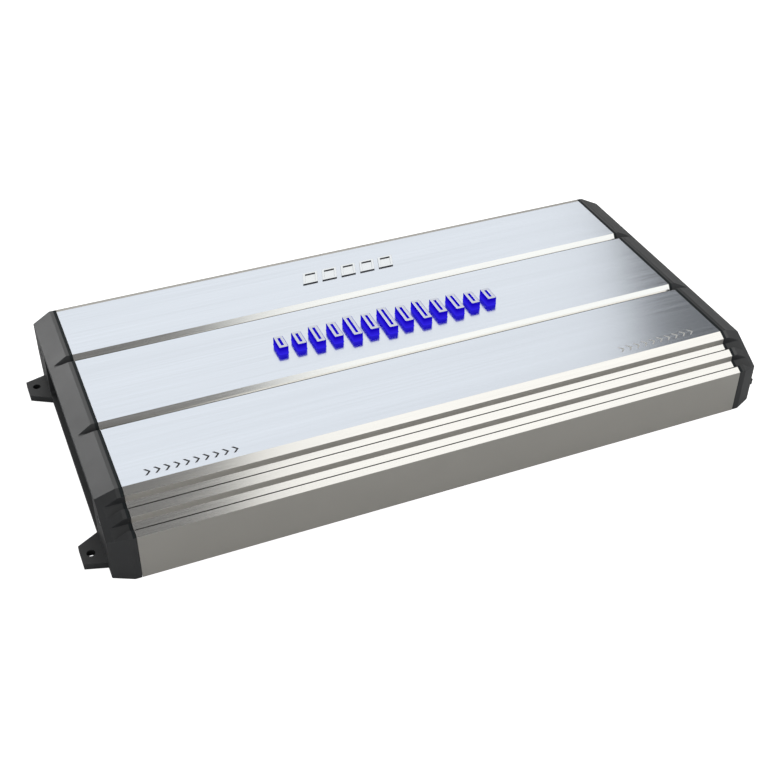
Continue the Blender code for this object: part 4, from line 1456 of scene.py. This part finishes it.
@dataclass
class SocketBlock:
    """Four round signal sockets: plated barrels with coloured insulators."""

    name: str
    barrel: float = 0.0042          # radius
    barrel_wall: float = 0.0008
    barrel_depth: float = 0.0060
    insulator_drop: float = 0.0012
    insulator_bore: float = 0.0019  # radius
    insulator_depth: float = 0.0040
    contact: float = 0.00175        # radius
    contact_drop: float = 0.0020
    contact_wall: float = 0.00045
    contact_depth: float = 0.0036
    flange: float = 0.0054          # radius to the hexagon's corners
    flange_thickness: float = 0.0009
    step: float = 0.0002            # how much shorter each inner part's foot is
    pitch: float = 0.0130
    colours: tuple[Finish, Finish] = field(default_factory=lambda: (RING_RED, RING_WHITE))

    def build(self) -> None:
        """Model the housing, then the barrels, insulators and contacts."""
        node = f"socket_block_{self.name}"
        low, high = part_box(node)
        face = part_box("end_panel_left")[0].x
        middle_y, middle_z = (low.y + high.y) / 2, (low.z + high.z) / 2
        self.housing = Workpiece.box(f"{node}_housing", (face - 0.0010, low.y, low.z), high)
        self.housing.faces(looking(TO_SIGNAL_END)).inset(0.0012)
        self.housing.move((0.0003, 0.0, 0.0))
        self.housing.soften(0.0003, angle=25.0)
        self.barrels, self.insulators, self.contacts = [], [], []
        for row, z in enumerate(spread(middle_z, self.pitch, 2)):
            for y in spread(middle_y, self.pitch, 2):
                self._socket(low.x, face - 0.0007, y, z, self.colours[row])

    def _socket(self, tip: float, face: float, y: float, z: float, colour: Finish) -> None:
        """Model one socket: flange, barrel, insulator and the split contact in its middle.

        Args:
            tip: where the barrel ends.
            face: where the panel's face is.
            y: the socket's place across the panel.
            z: its height.
            colour: the insulator's finish.
        """
        label = f"{len(self.barrels)}"
        flange = Workpiece.rod(f"flange_{label}", (face, y, z),
                               (face - self.flange_thickness, y, z), self.flange, 6)
        flange.soften(0.0002, angle=35.0)
        barrel = Workpiece.rod(f"barrel_{label}", (face - 0.0005, y, z), (tip, y, z),
                               self.barrel, 32)
        barrel.faces(looking(TO_SIGNAL_END)).inset(self.barrel_wall)
        barrel.extrude((self.barrel_depth, 0.0, 0.0))
        barrel.soften(0.00015, angle=35.0)
        self.barrels += [barrel, flange]
        inner = self.barrel - self.barrel_wall - 0.0001
        foot = tip + self.barrel_depth
        insulator = Workpiece.rod(f"insulator_{label}", (foot - self.step, y, z),
                                  (tip + self.insulator_drop, y, z), inner, 32)
        insulator.faces(looking(TO_SIGNAL_END)).inset(inner - self.insulator_bore)
        insulator.extrude((self.insulator_depth, 0.0, 0.0))
        insulator.soften(0.00015, angle=35.0)
        insulator.paint(colour)
        self.insulators.append(insulator)
        contact = Workpiece.rod(f"contact_{label}", (foot - 2 * self.step, y, z),
                                (tip + self.contact_drop, y, z), self.contact, 24)
        contact.faces(looking(TO_SIGNAL_END)).inset(self.contact_wall)
        contact.extrude((self.contact_depth, 0.0, 0.0))
        contact.soften(0.0001, angle=35.0)
        self.contacts.append(contact)

    def dress(self) -> None:
        """Plate the metal and hand the four pieces over."""
        node = f"socket_block_{self.name}"
        self.housing.paint(MOULDED_BLACK).smooth().place(HOUSING, "black_plastic", [node])
        groups = ((self.barrels, "barrels", "nickel"), (self.contacts, "contacts", "nickel"),
                  (self.insulators, "insulators", "black_plastic"))
        finishes = {"barrels": NICKEL, "contacts": GOLD}
        for members, label, slot in groups:
            whole = members[0].gather(members[1:])
            whole.piece.name = f"{node}_{label}"
            if label in finishes:
                whole.paint(finishes[label])
            whole.smooth().place(HOUSING, slot)


@dataclass
class RotaryControl:
    """A fluted rotary control knob with a pointer slot, on its own shaft."""

    node: str
    flutes: int = 18
    flute_depth: float = 0.00035
    skirt: float = 0.0014
    crown: float = 0.0007
    dish: float = 0.0003
    shaft: float = 0.0019           # radius
    slot: float = 0.0010            # width of the pointer's slot
    slot_depth: float = 0.0012

    def build(self) -> None:
        """Model the knob round its shaft: skirt, fluted grip, dished top, pointer slot."""
        low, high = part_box(self.node)
        radius = (high.y - low.y) / 2
        y, z = (low.y + high.y) / 2, (low.z + high.z) / 2
        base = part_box("end_panel_left")[0].x - 0.0008
        grip_start = base - self.skirt
        skirt = Workpiece.rod(f"{self.node}_skirt", (base, y, z), (grip_start, y, z), radius, 48)
        skirt.soften(0.0003, angle=35.0)
        grip_radius = radius - 0.0004
        grip = Workpiece.rod(f"{self.node}_grip", (grip_start + 0.0002, y, z), (low.x, y, z),
                             grip_radius, self.flutes * 2)
        step = math.pi / self.flutes
        grip.faces(lambda middle, normal: abs(normal.x) < 0.1 and
                   int(math.floor(math.atan2(normal.z, normal.y) / step)) % 2 == 0)
        grip.inset_each(0.00008, -self.flute_depth)
        grip.faces(looking(TO_SIGNAL_END)).inset(self.crown)
        grip.move((self.dish, 0.0, 0.0))
        grip.soften(0.00012, segments=1, angle=35.0)
        slot = Workpiece.box("pointer", (low.x - 0.001, y - self.slot / 2, z - 0.0006),
                             (low.x + self.slot_depth, y + self.slot / 2, z + radius + 0.001))
        self.knob = grip.cut([slot])
        self.pointer = Workpiece.box(f"{self.node}_pointer",
                                     (low.x + 0.0009, y - 0.00046, z - 0.0005),
                                     (low.x + 0.0013, y + 0.00046, z + grip_radius - 0.0012))
        self.pointer.soften(0.0001, angle=40.0)
        shaft = Workpiece.rod(f"{self.node}_shaft", (base + 0.0005, y, z), (high.x, y, z),
                              self.shaft, 24)
        shaft.soften(0.0002, angle=35.0)
        self.knob.gather([skirt, shaft])

    def dress(self) -> None:
        """Finish the knob in moulded grey, with a white pointer."""
        self.knob.paint(KNOB_GREY).smooth()
        self.knob.piece.name = f"{self.node}_fluted"
        self.knob.place(self.node, "knob_grey", [self.node])
        self.pointer.paint(MARK_WHITE).place(self.node, "knob_grey")


@dataclass
class SlideSwitch:
    """A slide switch: its plated frame behind the panel and its ribbed slider."""

    name: str
    rib_pitch: float = 0.0009

    def build(self) -> None:
        """Copy both parts and cut the finger ribs in the slider's tip."""
        self.frame = Workpiece.from_node(f"switch_housing_{self.name}",
                                         f"switch_frame_{self.name}")
        self.frame.soften(0.0002, angle=35.0)
        node = f"switch_slider_{self.name}"
        low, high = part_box(node)
        self.slider = Workpiece.from_node(node, f"{node}_ribbed")
        middle_y = (low.y + high.y) / 2
        grooves = [Workpiece.box(f"rib_{y:.4f}", (low.x - 0.001, y - 0.0002, low.z - 0.001),
                                 (low.x + 0.0004, y + 0.0002, high.z + 0.001))
                   for y in spread(middle_y, self.rib_pitch, 3)]
        self.slider.cut(grooves).soften(0.0001, segments=1, angle=35.0)

    def dress(self) -> None:
        """Plate the frame and mould the slider."""
        self.frame.paint(ZINC).smooth()
        self.frame.place(HOUSING, "zinc_steel", [f"switch_housing_{self.name}"])
        node = f"switch_slider_{self.name}"
        self.slider.paint(MOULDED_BLACK).smooth().place(node, "black_plastic", [node])


@dataclass
class RemoteSocket:
    """The modular socket for a wired remote level control."""

    contacts: int = 6
    pitch: float = 0.0011
    wire: float = 0.00025

    def build(self) -> None:
        """Copy the socket and lay its sprung contact wires."""
        low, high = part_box("remote_socket")
        middle_y = (low.y + high.y) / 2
        self.body = Workpiece.from_node("remote_socket", "remote_socket_body")
        self.body.soften(0.00025, angle=35.0)
        wires = []
        for y in spread(middle_y, self.pitch, self.contacts):
            wires.append(Workpiece.rod(f"wire_{y:.4f}", (low.x + 0.0022, y, low.z + 0.0029),
                                       (low.x + 0.0098, y, low.z + 0.0062), self.wire, 8))
        self.wires = wires[0].gather(wires[1:])

    def dress(self) -> None:
        """Mould the body and plate the wires."""
        self.body.paint(MOULDED_BLACK).smooth()
        self.body.place(HOUSING, "black_plastic", ["remote_socket"])
        self.wires.piece.name = "remote_socket_contacts"
        self.wires.paint(GOLD).smooth().place(HOUSING, "nickel")


@dataclass
class SignalPanel:
    """The signal end's panel with its printed scales and frames."""

    ticks: int = 11
    sweep: float = 300.0            # degrees between the first and the last tick
    inner: float = 0.0053
    outer: float = 0.0063
    longer: float = 0.0004          # how much longer the end and middle ticks are
    stroke: float = 0.0004
    frame_gap: float = 0.0012       # between a block and the lines over and under it

    def build(self, knobs: Sequence[str]) -> None:
        """Copy the panel, and print a scale round each knob.

        Args:
            knobs: the knobs' nodes.
        """
        self.panel = Workpiece.from_node("end_panel_left", "signal_panel")
        self.panel.soften(0.00015, angle=35.0)
        self.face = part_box("end_panel_left")[0].x
        marks = []
        for node in knobs:
            marks += self._scale(middle_of(node))
        for block in ("socket_block_inputs", "socket_block_outputs", "switch_housing_front",
                      "switch_housing_rear"):
            marks += self._frame(*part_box(block))
        self.marks = marks[0].gather(marks[1:])

    def _scale(self, centre: Vector) -> list[Workpiece]:
        """Ticks round one knob, each one turned to its place.

        Args:
            centre: the knob's middle.

        Returns:
            The ticks.
        """
        ticks = []
        for index in range(self.ticks):
            angle = math.radians(self.sweep * (index / (self.ticks - 1) - 0.5))
            longer = self.longer if index in (0, self.ticks // 2, self.ticks - 1) else 0.0
            tick = Workpiece.box(f"tick_{index}",
                                 (self.face - PRINT_LIFT, centre.y - self.stroke / 2,
                                  centre.z + self.inner),
                                 (self.face + PRINT_LIFT, centre.y + self.stroke / 2,
                                  centre.z + self.outer + longer))
            ticks.append(tick.turn(angle, "X", (self.face, centre.y, centre.z)))
        return ticks

    def _frame(self, low: Vector, high: Vector) -> list[Workpiece]:
        """A thin line over and under a block.

        Args:
            low: the block's lowest corner.
            high: its highest corner.

        Returns:
            The two lines.
        """
        lines = []
        for z in (low.z - self.frame_gap, high.z + self.frame_gap):
            lines.append(Workpiece.box(f"line_{z:.4f}",
                                       (self.face - PRINT_LIFT, low.y + 0.001, z - self.stroke / 2),
                                       (self.face + PRINT_LIFT, high.y - 0.001,
                                        z + self.stroke / 2)))
        return lines

    def dress(self) -> None:
        """Paint the panel and ink the marks."""
        self.panel.paint(PANEL_BLACK).smooth()
        self.panel.place(HOUSING, "black_steel", ["end_panel_left"])
        self.marks.piece.name = "signal_panel_marks"
        self.marks.paint(MARK_WHITE).place(HOUSING, "black_steel")


@dataclass
class TerminalBlock:
    """A block of clamp terminals, with ribs between its ways and plated cages inside."""

    name: str
    screws: list[str]
    entry_drop: float
    entry: float
    rib: float = 0.0008
    cage_wall: float = 0.0006
    cage_start: float = 0.0016      # how far behind the block's face the cages begin
    cage_length: float = 0.0120
    cage_end: float = 0.0012        # thickness of a cage's end wall
    cage_shadow: float = 0.0050     # deeper than this, a cage's end wall gets the black moulding's finish, as painted shade

    def build(self) -> None:
        """Copy the block, add its ribs, its cages and its screws."""
        node = f"{self.name}_terminal_block"
        low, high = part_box(node)
        ways = sorted(middle_of(screw).y for screw in self.screws)
        pitch = ways[1] - ways[0]
        self.block = Workpiece.from_node(node, f"{node}_ribbed")
        between = [(a + b) / 2 for a, b in zip(ways, ways[1:])]
        ribs = [Workpiece.box(f"rib_{y:.4f}", (high.x - 0.001, y - self.rib / 2, low.z + 0.0006),
                              (high.x + 0.0010, y + self.rib / 2, high.z - 0.0006))
                for y in between]
        self.block.join(ribs).soften(0.0002, angle=35.0)
        entry_z = middle_of(self.screws[0]).z - self.entry_drop
        self.cages = self._cages(ways, high.x, entry_z, pitch)
        self.clamps = {}
        for screw in self.screws:
            self.clamps[screw] = Workpiece.from_node(screw, f"{screw}_plated")
            self.clamps[screw].soften(0.00012, angle=35.0)

    def _cages(self, ways: Sequence[float], face: float, z: float, pitch: float) -> Workpiece:
        """Plated sleeves that line the wire entries.

        Args:
            ways: the place of each way.
            face: the block's face.
            z: the height of the entries.
            pitch: the distance between ways.

        Returns:
            The sleeves as one workpiece.
        """
        half = self.entry / 2 - 0.0001
        mouth = face - self.cage_start
        cages = []
        for y in ways:
            cage = Workpiece.box(f"cage_{y:.4f}", (mouth - self.cage_length, y - half, z - half),
                                 (mouth, y + half, z + half))
            cage.faces(looking(TO_POWER_END)).inset(self.cage_wall)
            cage.extrude((self.cage_end - self.cage_length, 0.0, 0.0))
            cages.append(cage.soften(0.00015, angle=35.0))
        LOG.info("%s: %d ways at %.1f mm", self.name, len(ways), pitch * 1000)
        return cages[0].gather(cages[1:])

    def dress(self) -> None:
        """Mould the block, plate the cages and the screws."""
        node = f"{self.name}_terminal_block"
        self.block.paint(MOULDED_BLACK).smooth().place(HOUSING, "black_plastic", [node])
        self.cages.piece.name = f"{self.name}_terminal_cages"
        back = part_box(node)[1].x - self.cage_shadow
        self.cages.paint(NICKEL, MOULDED_BLACK)
        # Painted shade: the cages' deep end walls are black.
        self.cages.repaint(MOULDED_BLACK, lambda middle, normal: normal.x > 0.9 and middle.x < back)
        self.cages.smooth().place(HOUSING, "nickel")
        for screw, clamp in self.clamps.items():
            clamp.paint(NICKEL).smooth().place(screw, "nickel", [screw])


@dataclass
class FuseBank:
    """The fuse holder and its blade fuses."""

    fuses: list[str]
    window: float = 0.0016
    window_reach: float = 0.0058    # from the fuse's middle to each window

    def build(self) -> None:
        """Copy the holder and each fuse, and cut the fuses' test windows."""
        self.holder = Workpiece.from_node("fuse_holder", "fuse_holder_moulded")
        self.holder.soften(0.0003, angle=35.0)
        self.bodies = {}
        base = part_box("fuse_holder")[1].x
        for node in self.fuses:
            low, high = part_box(node)
            y, z = (low.y + high.y) / 2, (low.z + high.z) / 2
            fuse = Workpiece.from_node(node, f"{node}_blade")
            windows = [Workpiece.box(f"window_{spot:.4f}",
                                     (high.x - 0.0011, y - 0.0008, spot - self.window / 2),
                                     (high.x + 0.001, y + 0.0008, spot + self.window / 2))
                       for spot in (z - self.window_reach, z + self.window_reach)]
            fuse.paint(FUSE_BODY, ZINC).cut(windows)
            fuse.soften(0.0002, angle=35.0)
            fuse.repaint(ZINC, lambda middle, normal: middle.x < base + 0.0002)
            self.bodies[node] = fuse

    def dress(self) -> None:
        """Hand over the holder and the fuses."""
        self.holder.paint(MOULDED_BLACK).smooth()
        self.holder.place(HOUSING, "black_plastic", ["fuse_holder"])
        for node, fuse in self.bodies.items():
            fuse.smooth().place(node, "fuse_orange", [node])


class Sign(Enum):
    """The two polarity signs."""

    PLUS = "plus"
    MINUS = "minus"


@dataclass
class PowerPanel:
    """The power end's panel with its polarity signs and pair brackets."""

    size: float = 0.0024
    stroke: float = 0.0005
    power_gap: float = 0.0022       # from the supply terminals up to their signs
    speaker_gap: float = 0.0026
    bracket_gap: float = 0.0022

    def build(self, power: Sequence[str], speakers: Sequence[str]) -> None:
        """Copy the panel and print a sign over each way.

        Args:
            power: the power clamp screws' nodes.
            speakers: the loudspeaker clamp screws' nodes.
        """
        self.panel = Workpiece.from_node("end_panel_right", "power_panel")
        self.panel.soften(0.00015, angle=35.0)
        self.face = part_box("end_panel_right")[1].x
        marks = []
        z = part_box("power_terminal_block")[1].z + self.power_gap
        for node, sign in zip(power, (Sign.PLUS, Sign.MINUS)):
            marks += self._sign(sign, middle_of(node).y, z)
        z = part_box("speaker_terminal_block")[1].z + self.speaker_gap
        for index, node in enumerate(speakers):
            sign = Sign.PLUS if index % 2 == 0 else Sign.MINUS
            marks += self._sign(sign, middle_of(node).y, z)
        for first, second in zip(speakers[::2], speakers[1::2]):
            marks.append(self._line(middle_of(first).y, middle_of(second).y,
                                    z + self.bracket_gap))
        self.marks = marks[0].gather(marks[1:])

    def _line(self, first_y: float, second_y: float, z: float) -> Workpiece:
        """A printed line along Y.

        Args:
            first_y: where it starts.
            second_y: where it ends.
            z: its height.

        Returns:
            The line.
        """
        return Workpiece.box(f"line_{first_y:.4f}_{z:.4f}",
                             (self.face - PRINT_LIFT, first_y, z - self.stroke / 2),
                             (self.face + PRINT_LIFT, second_y, z + self.stroke / 2))

    def _sign(self, sign: Sign, y: float, z: float) -> list[Workpiece]:
        """One polarity sign.

        Args:
            sign: which sign.
            y: its place across the panel.
            z: its height.

        Returns:
            Its strokes.
        """
        strokes = [self._line(y - self.size / 2, y + self.size / 2, z)]
        if sign is Sign.PLUS:
            upright = self._line(y - self.size / 2, y + self.size / 2, z)
            strokes.append(upright.turn(math.pi / 2, "X", (self.face, y, z)))
        return strokes

    def dress(self) -> None:
        """Paint the panel and ink the marks."""
        self.panel.paint(PANEL_BLACK).smooth()
        self.panel.place(HOUSING, "black_steel", ["end_panel_right"])
        self.marks.piece.name = "power_panel_marks"
        self.marks.paint(MARK_WHITE).place(HOUSING, "black_steel")


@dataclass
class Inside:
    """The boards and the large parts on them."""

    boards: tuple[str, ...] = ("main_board", "control_board", "lamp_board")
    coils: tuple[str, ...] = ("power_transformer_1", "power_transformer_2", "input_choke")
    capacitors: int = 4
    crimp: float = 0.0014           # width of the rim round a can's sunken top
    crimp_depth: float = 0.0006

    def build(self) -> None:
        """Model the capacitors' crimped cans."""
        self.cans = {}
        for number in range(1, self.capacitors + 1):
            node = f"capacitor_{number}"
            low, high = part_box(node)
            x, y, radius = (low.x + high.x) / 2, (low.y + high.y) / 2, (high.x - low.x) / 2
            can = Workpiece.rod(f"{node}_can", (x, y, low.z), (x, y, high.z), radius - 0.0001, 40)
            can.faces(looking(UP)).inset(self.crimp)
            can.move((0.0, 0.0, -self.crimp_depth))
            self.cans[node] = can.soften(0.0004, angle=35.0)

    def dress(self) -> None:
        """Finish every part inside the housing."""
        for node, can in self.cans.items():
            can.paint(SLEEVE, ZINC)
            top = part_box(node)[1].z
            can.repaint(ZINC, lambda middle, normal: normal.z > 0.9 and
                        middle.z < top - self.crimp_depth / 2)
            can.smooth().place(HOUSING, "capacitor_sleeve", [node])
        for node in self.boards:
            dress_node(node, BOARD_MASK)
        for node in self.coils:
            centre = middle_of(node)
            dress_node(node, WoundWire(f"{node}_winding", (0.62, 0.22, 0.07), 0.30, 0.7,
                                       grain=0.08, grain_scale=900.0, coat=0.4,
                                       centre=tuple(centre)))
        for row in ("front", "rear"):
            dress_node(f"clamp_bar_{row}", ZINC)
            for number in (1, 2, 3):
                dress_node(f"transistor_{row}_{number}", EPOXY)
        dress_node("indicator_lens", LENS)


# ======================================================================================
# Studio
# ======================================================================================
@dataclass(frozen=True)
class SoftBox:
    """A rectangular area light that faces a target.

    The radiance sets how bright it looks in a mirror, whatever its size, and the roll turns it
    about its own axis, in degrees.
    """

    name: str
    place: Point
    target: Point
    width: float
    height: float
    radiance: float
    colour: Colour = (1.0, 1.0, 1.0)
    roll: float = 0.0

    def build(self) -> None:
        """Add the light."""
        data = bpy.data.lights.new(self.name, "AREA")
        data.shape = "RECTANGLE"
        data.size = self.width
        data.size_y = self.height
        data.energy = self.radiance * math.pi * self.width * self.height
        data.color = self.colour
        light = bpy.data.objects.new(self.name, data)
        aim = Vector(self.target) - Vector(self.place)
        light.matrix_world = (Matrix.Translation(Vector(self.place)) @
                              aim.to_track_quat("-Z", "Y").to_matrix().to_4x4() @
                              Matrix.Rotation(math.radians(self.roll), 4, "Z"))
        bpy.context.scene.collection.objects.link(light)


@dataclass
class Studio:
    """Floor, lights, surroundings and camera."""

    floor_size: float = 8.0
    floor_z: float = -0.0004
    ambient: float = 0.18
    lens: float = 58.51
    camera_place: Point = (-0.3141, -0.7210, 0.6097)
    camera_azimuth: float = -23.104
    camera_tilt: float = 52.289
    camera_roll: float = 0.5413

    def build(self) -> None:
        """Build everything round the object."""
        self._floor()
        self._surroundings()
        for light in self._lights():
            light.build()
        self._camera()
        bpy.context.scene.view_settings.view_transform = "Standard"

    def _floor(self) -> None:
        """A pale floor that is plain white to the camera, with a faint contact shadow."""
        rest_all()
        bpy.ops.mesh.primitive_plane_add(size=self.floor_size, location=(0, 0, self.floor_z))
        floor = bpy.context.object
        floor.name = "studio_floor"
        material = bpy.data.materials.new("studio_floor_white")
        material.use_nodes = True
        tree = material.node_tree
        shader = tree.nodes["Principled BSDF"]
        shader.inputs["Base Color"].default_value = (0.86, 0.86, 0.86, 1.0)
        shader.inputs["Roughness"].default_value = 0.9
        shader.inputs["Specular IOR Level"].default_value = 0.0
        shader.inputs["Emission Color"].default_value = (1.0, 1.0, 1.0, 1.0)
        path = tree.nodes.new("ShaderNodeLightPath")
        level = tree.nodes.new("ShaderNodeMath")
        level.operation = "MULTIPLY"
        level.inputs[1].default_value = 0.95
        tree.links.new(path.outputs["Is Camera Ray"], level.inputs[0])
        tree.links.new(level.outputs[0], shader.inputs["Emission Strength"])
        floor.data.materials.append(material)

    def _surroundings(self) -> None:
        """A dim even surround, white where the camera sees it."""
        world = bpy.data.worlds.new("studio_surround")
        world.use_nodes = True
        tree = world.node_tree
        background = tree.nodes["Background"]
        background.inputs["Color"].default_value = (1.0, 1.0, 1.0, 1.0)
        path = tree.nodes.new("ShaderNodeLightPath")
        level = tree.nodes.new("ShaderNodeMapRange")
        level.inputs["To Min"].default_value = self.ambient
        level.inputs["To Max"].default_value = 1.0
        tree.links.new(path.outputs["Is Camera Ray"], level.inputs["Value"])
        tree.links.new(level.outputs["Result"], background.inputs["Strength"])
        bpy.context.scene.world = world

    @staticmethod
    def _lights() -> list[SoftBox]:
        """The soft boxes: two behind, one overhead, three in front and one at each side.

        Returns:
            The soft boxes.
        """
        return [
            SoftBox("rear_soft_box", (0.203, 1.70, 1.464), (0.203, 0.0, 1.464), 2.43, 2.00,
                    0.855, (1.0, 1.0, 0.995), roll=19.0),
            SoftBox("rear_left_soft_box", (-1.50, 1.69, 1.10), (-1.50, 0.0, 1.10), 1.50, 1.10,
                    1.75),
            SoftBox("overhead_soft_box", (1.47, -0.50, 2.00), (1.47, -0.50, 0.0), 2.50, 1.70,
                    0.945, (1.0, 0.995, 0.97)),
            SoftBox("front_soft_box", (1.73, -2.20, 1.45), (1.73, 0.0, 1.45), 2.54, 1.50, 0.97,
                    (0.97, 1.0, 1.01)),
            SoftBox("front_left_soft_box", (-1.95, -2.20, 1.10), (-1.95, 0.0, 1.10), 2.40, 1.60,
                    0.95),
            SoftBox("front_low_soft_box", (-0.15, -2.20, 0.45), (-0.15, 0.0, 0.45), 1.30, 0.70,
                    0.90),
            SoftBox("left_soft_box", (-3.40, 0.60, 1.30), (0.0, 0.60, 1.30), 3.60, 1.80, 0.65),
            SoftBox("right_soft_box", (3.60, 0.0, 1.30), (0.0, 0.0, 1.30), 3.20, 1.80, 0.55),
        ]

    def _camera(self) -> None:
        """The camera, at the angle the object is seen from."""
        data = bpy.data.cameras.new("studio_camera")
        data.lens = self.lens
        data.sensor_width = 36.0
        camera = bpy.data.objects.new("studio_camera", data)
        turn = (Matrix.Rotation(math.radians(self.camera_azimuth), 4, "Z") @
                Matrix.Rotation(math.radians(self.camera_tilt), 4, "X") @
                Matrix.Rotation(math.radians(self.camera_roll), 4, "Z"))
        camera.matrix_world = Matrix.Translation(Vector(self.camera_place)) @ turn
        bpy.context.scene.collection.objects.link(camera)
        bpy.context.scene.camera = camera


# ======================================================================================
KNOBS = ["level_knob_front", "crossover_knob_front", "level_knob_rear", "highpass_knob_rear",
         "lowpass_knob_rear", "bass_boost_knob"]
POWER_SCREWS = [f"power_clamp_screw_{way}" for way in ("supply", "ground", "remote")]
SPEAKER_SCREWS = [f"speaker_clamp_screw_{number}" for number in range(1, 9)]
FUSES = [f"fuse_{number}" for number in (1, 2, 3)]


def main() -> None:
    """Build the looks of every sub-assembly, then the studio."""
    assemblies = [
        HeatsinkShell(), RearTrim(),
        PrintedRow("front_marks_left", -0.2170, MARK_DARK),
        PrintedRow("front_marks_right", 0.1490, MARK_WHITE),
        LightBadge(), EndCap("left"), EndCap("right"), BottomCover(),
        SocketBlock("inputs"), SocketBlock("outputs"),
        *[RotaryControl(node) for node in KNOBS],
        SlideSwitch("front"), SlideSwitch("rear"), RemoteSocket(),
        TerminalBlock("power", POWER_SCREWS, 0.0125, 0.0086),
        TerminalBlock("speaker", SPEAKER_SCREWS, 0.0110, 0.0056),
        FuseBank(FUSES), Inside(),
    ]
    for assembly in assemblies:
        assembly.build()
        assembly.dress()
    signal_panel = SignalPanel()
    signal_panel.build(KNOBS)
    signal_panel.dress()
    power_panel = PowerPanel()
    power_panel.build(POWER_SCREWS, SPEAKER_SCREWS)
    power_panel.dress()
    rest_all()
    Studio().build()


if __name__ == "__main__":
    main()
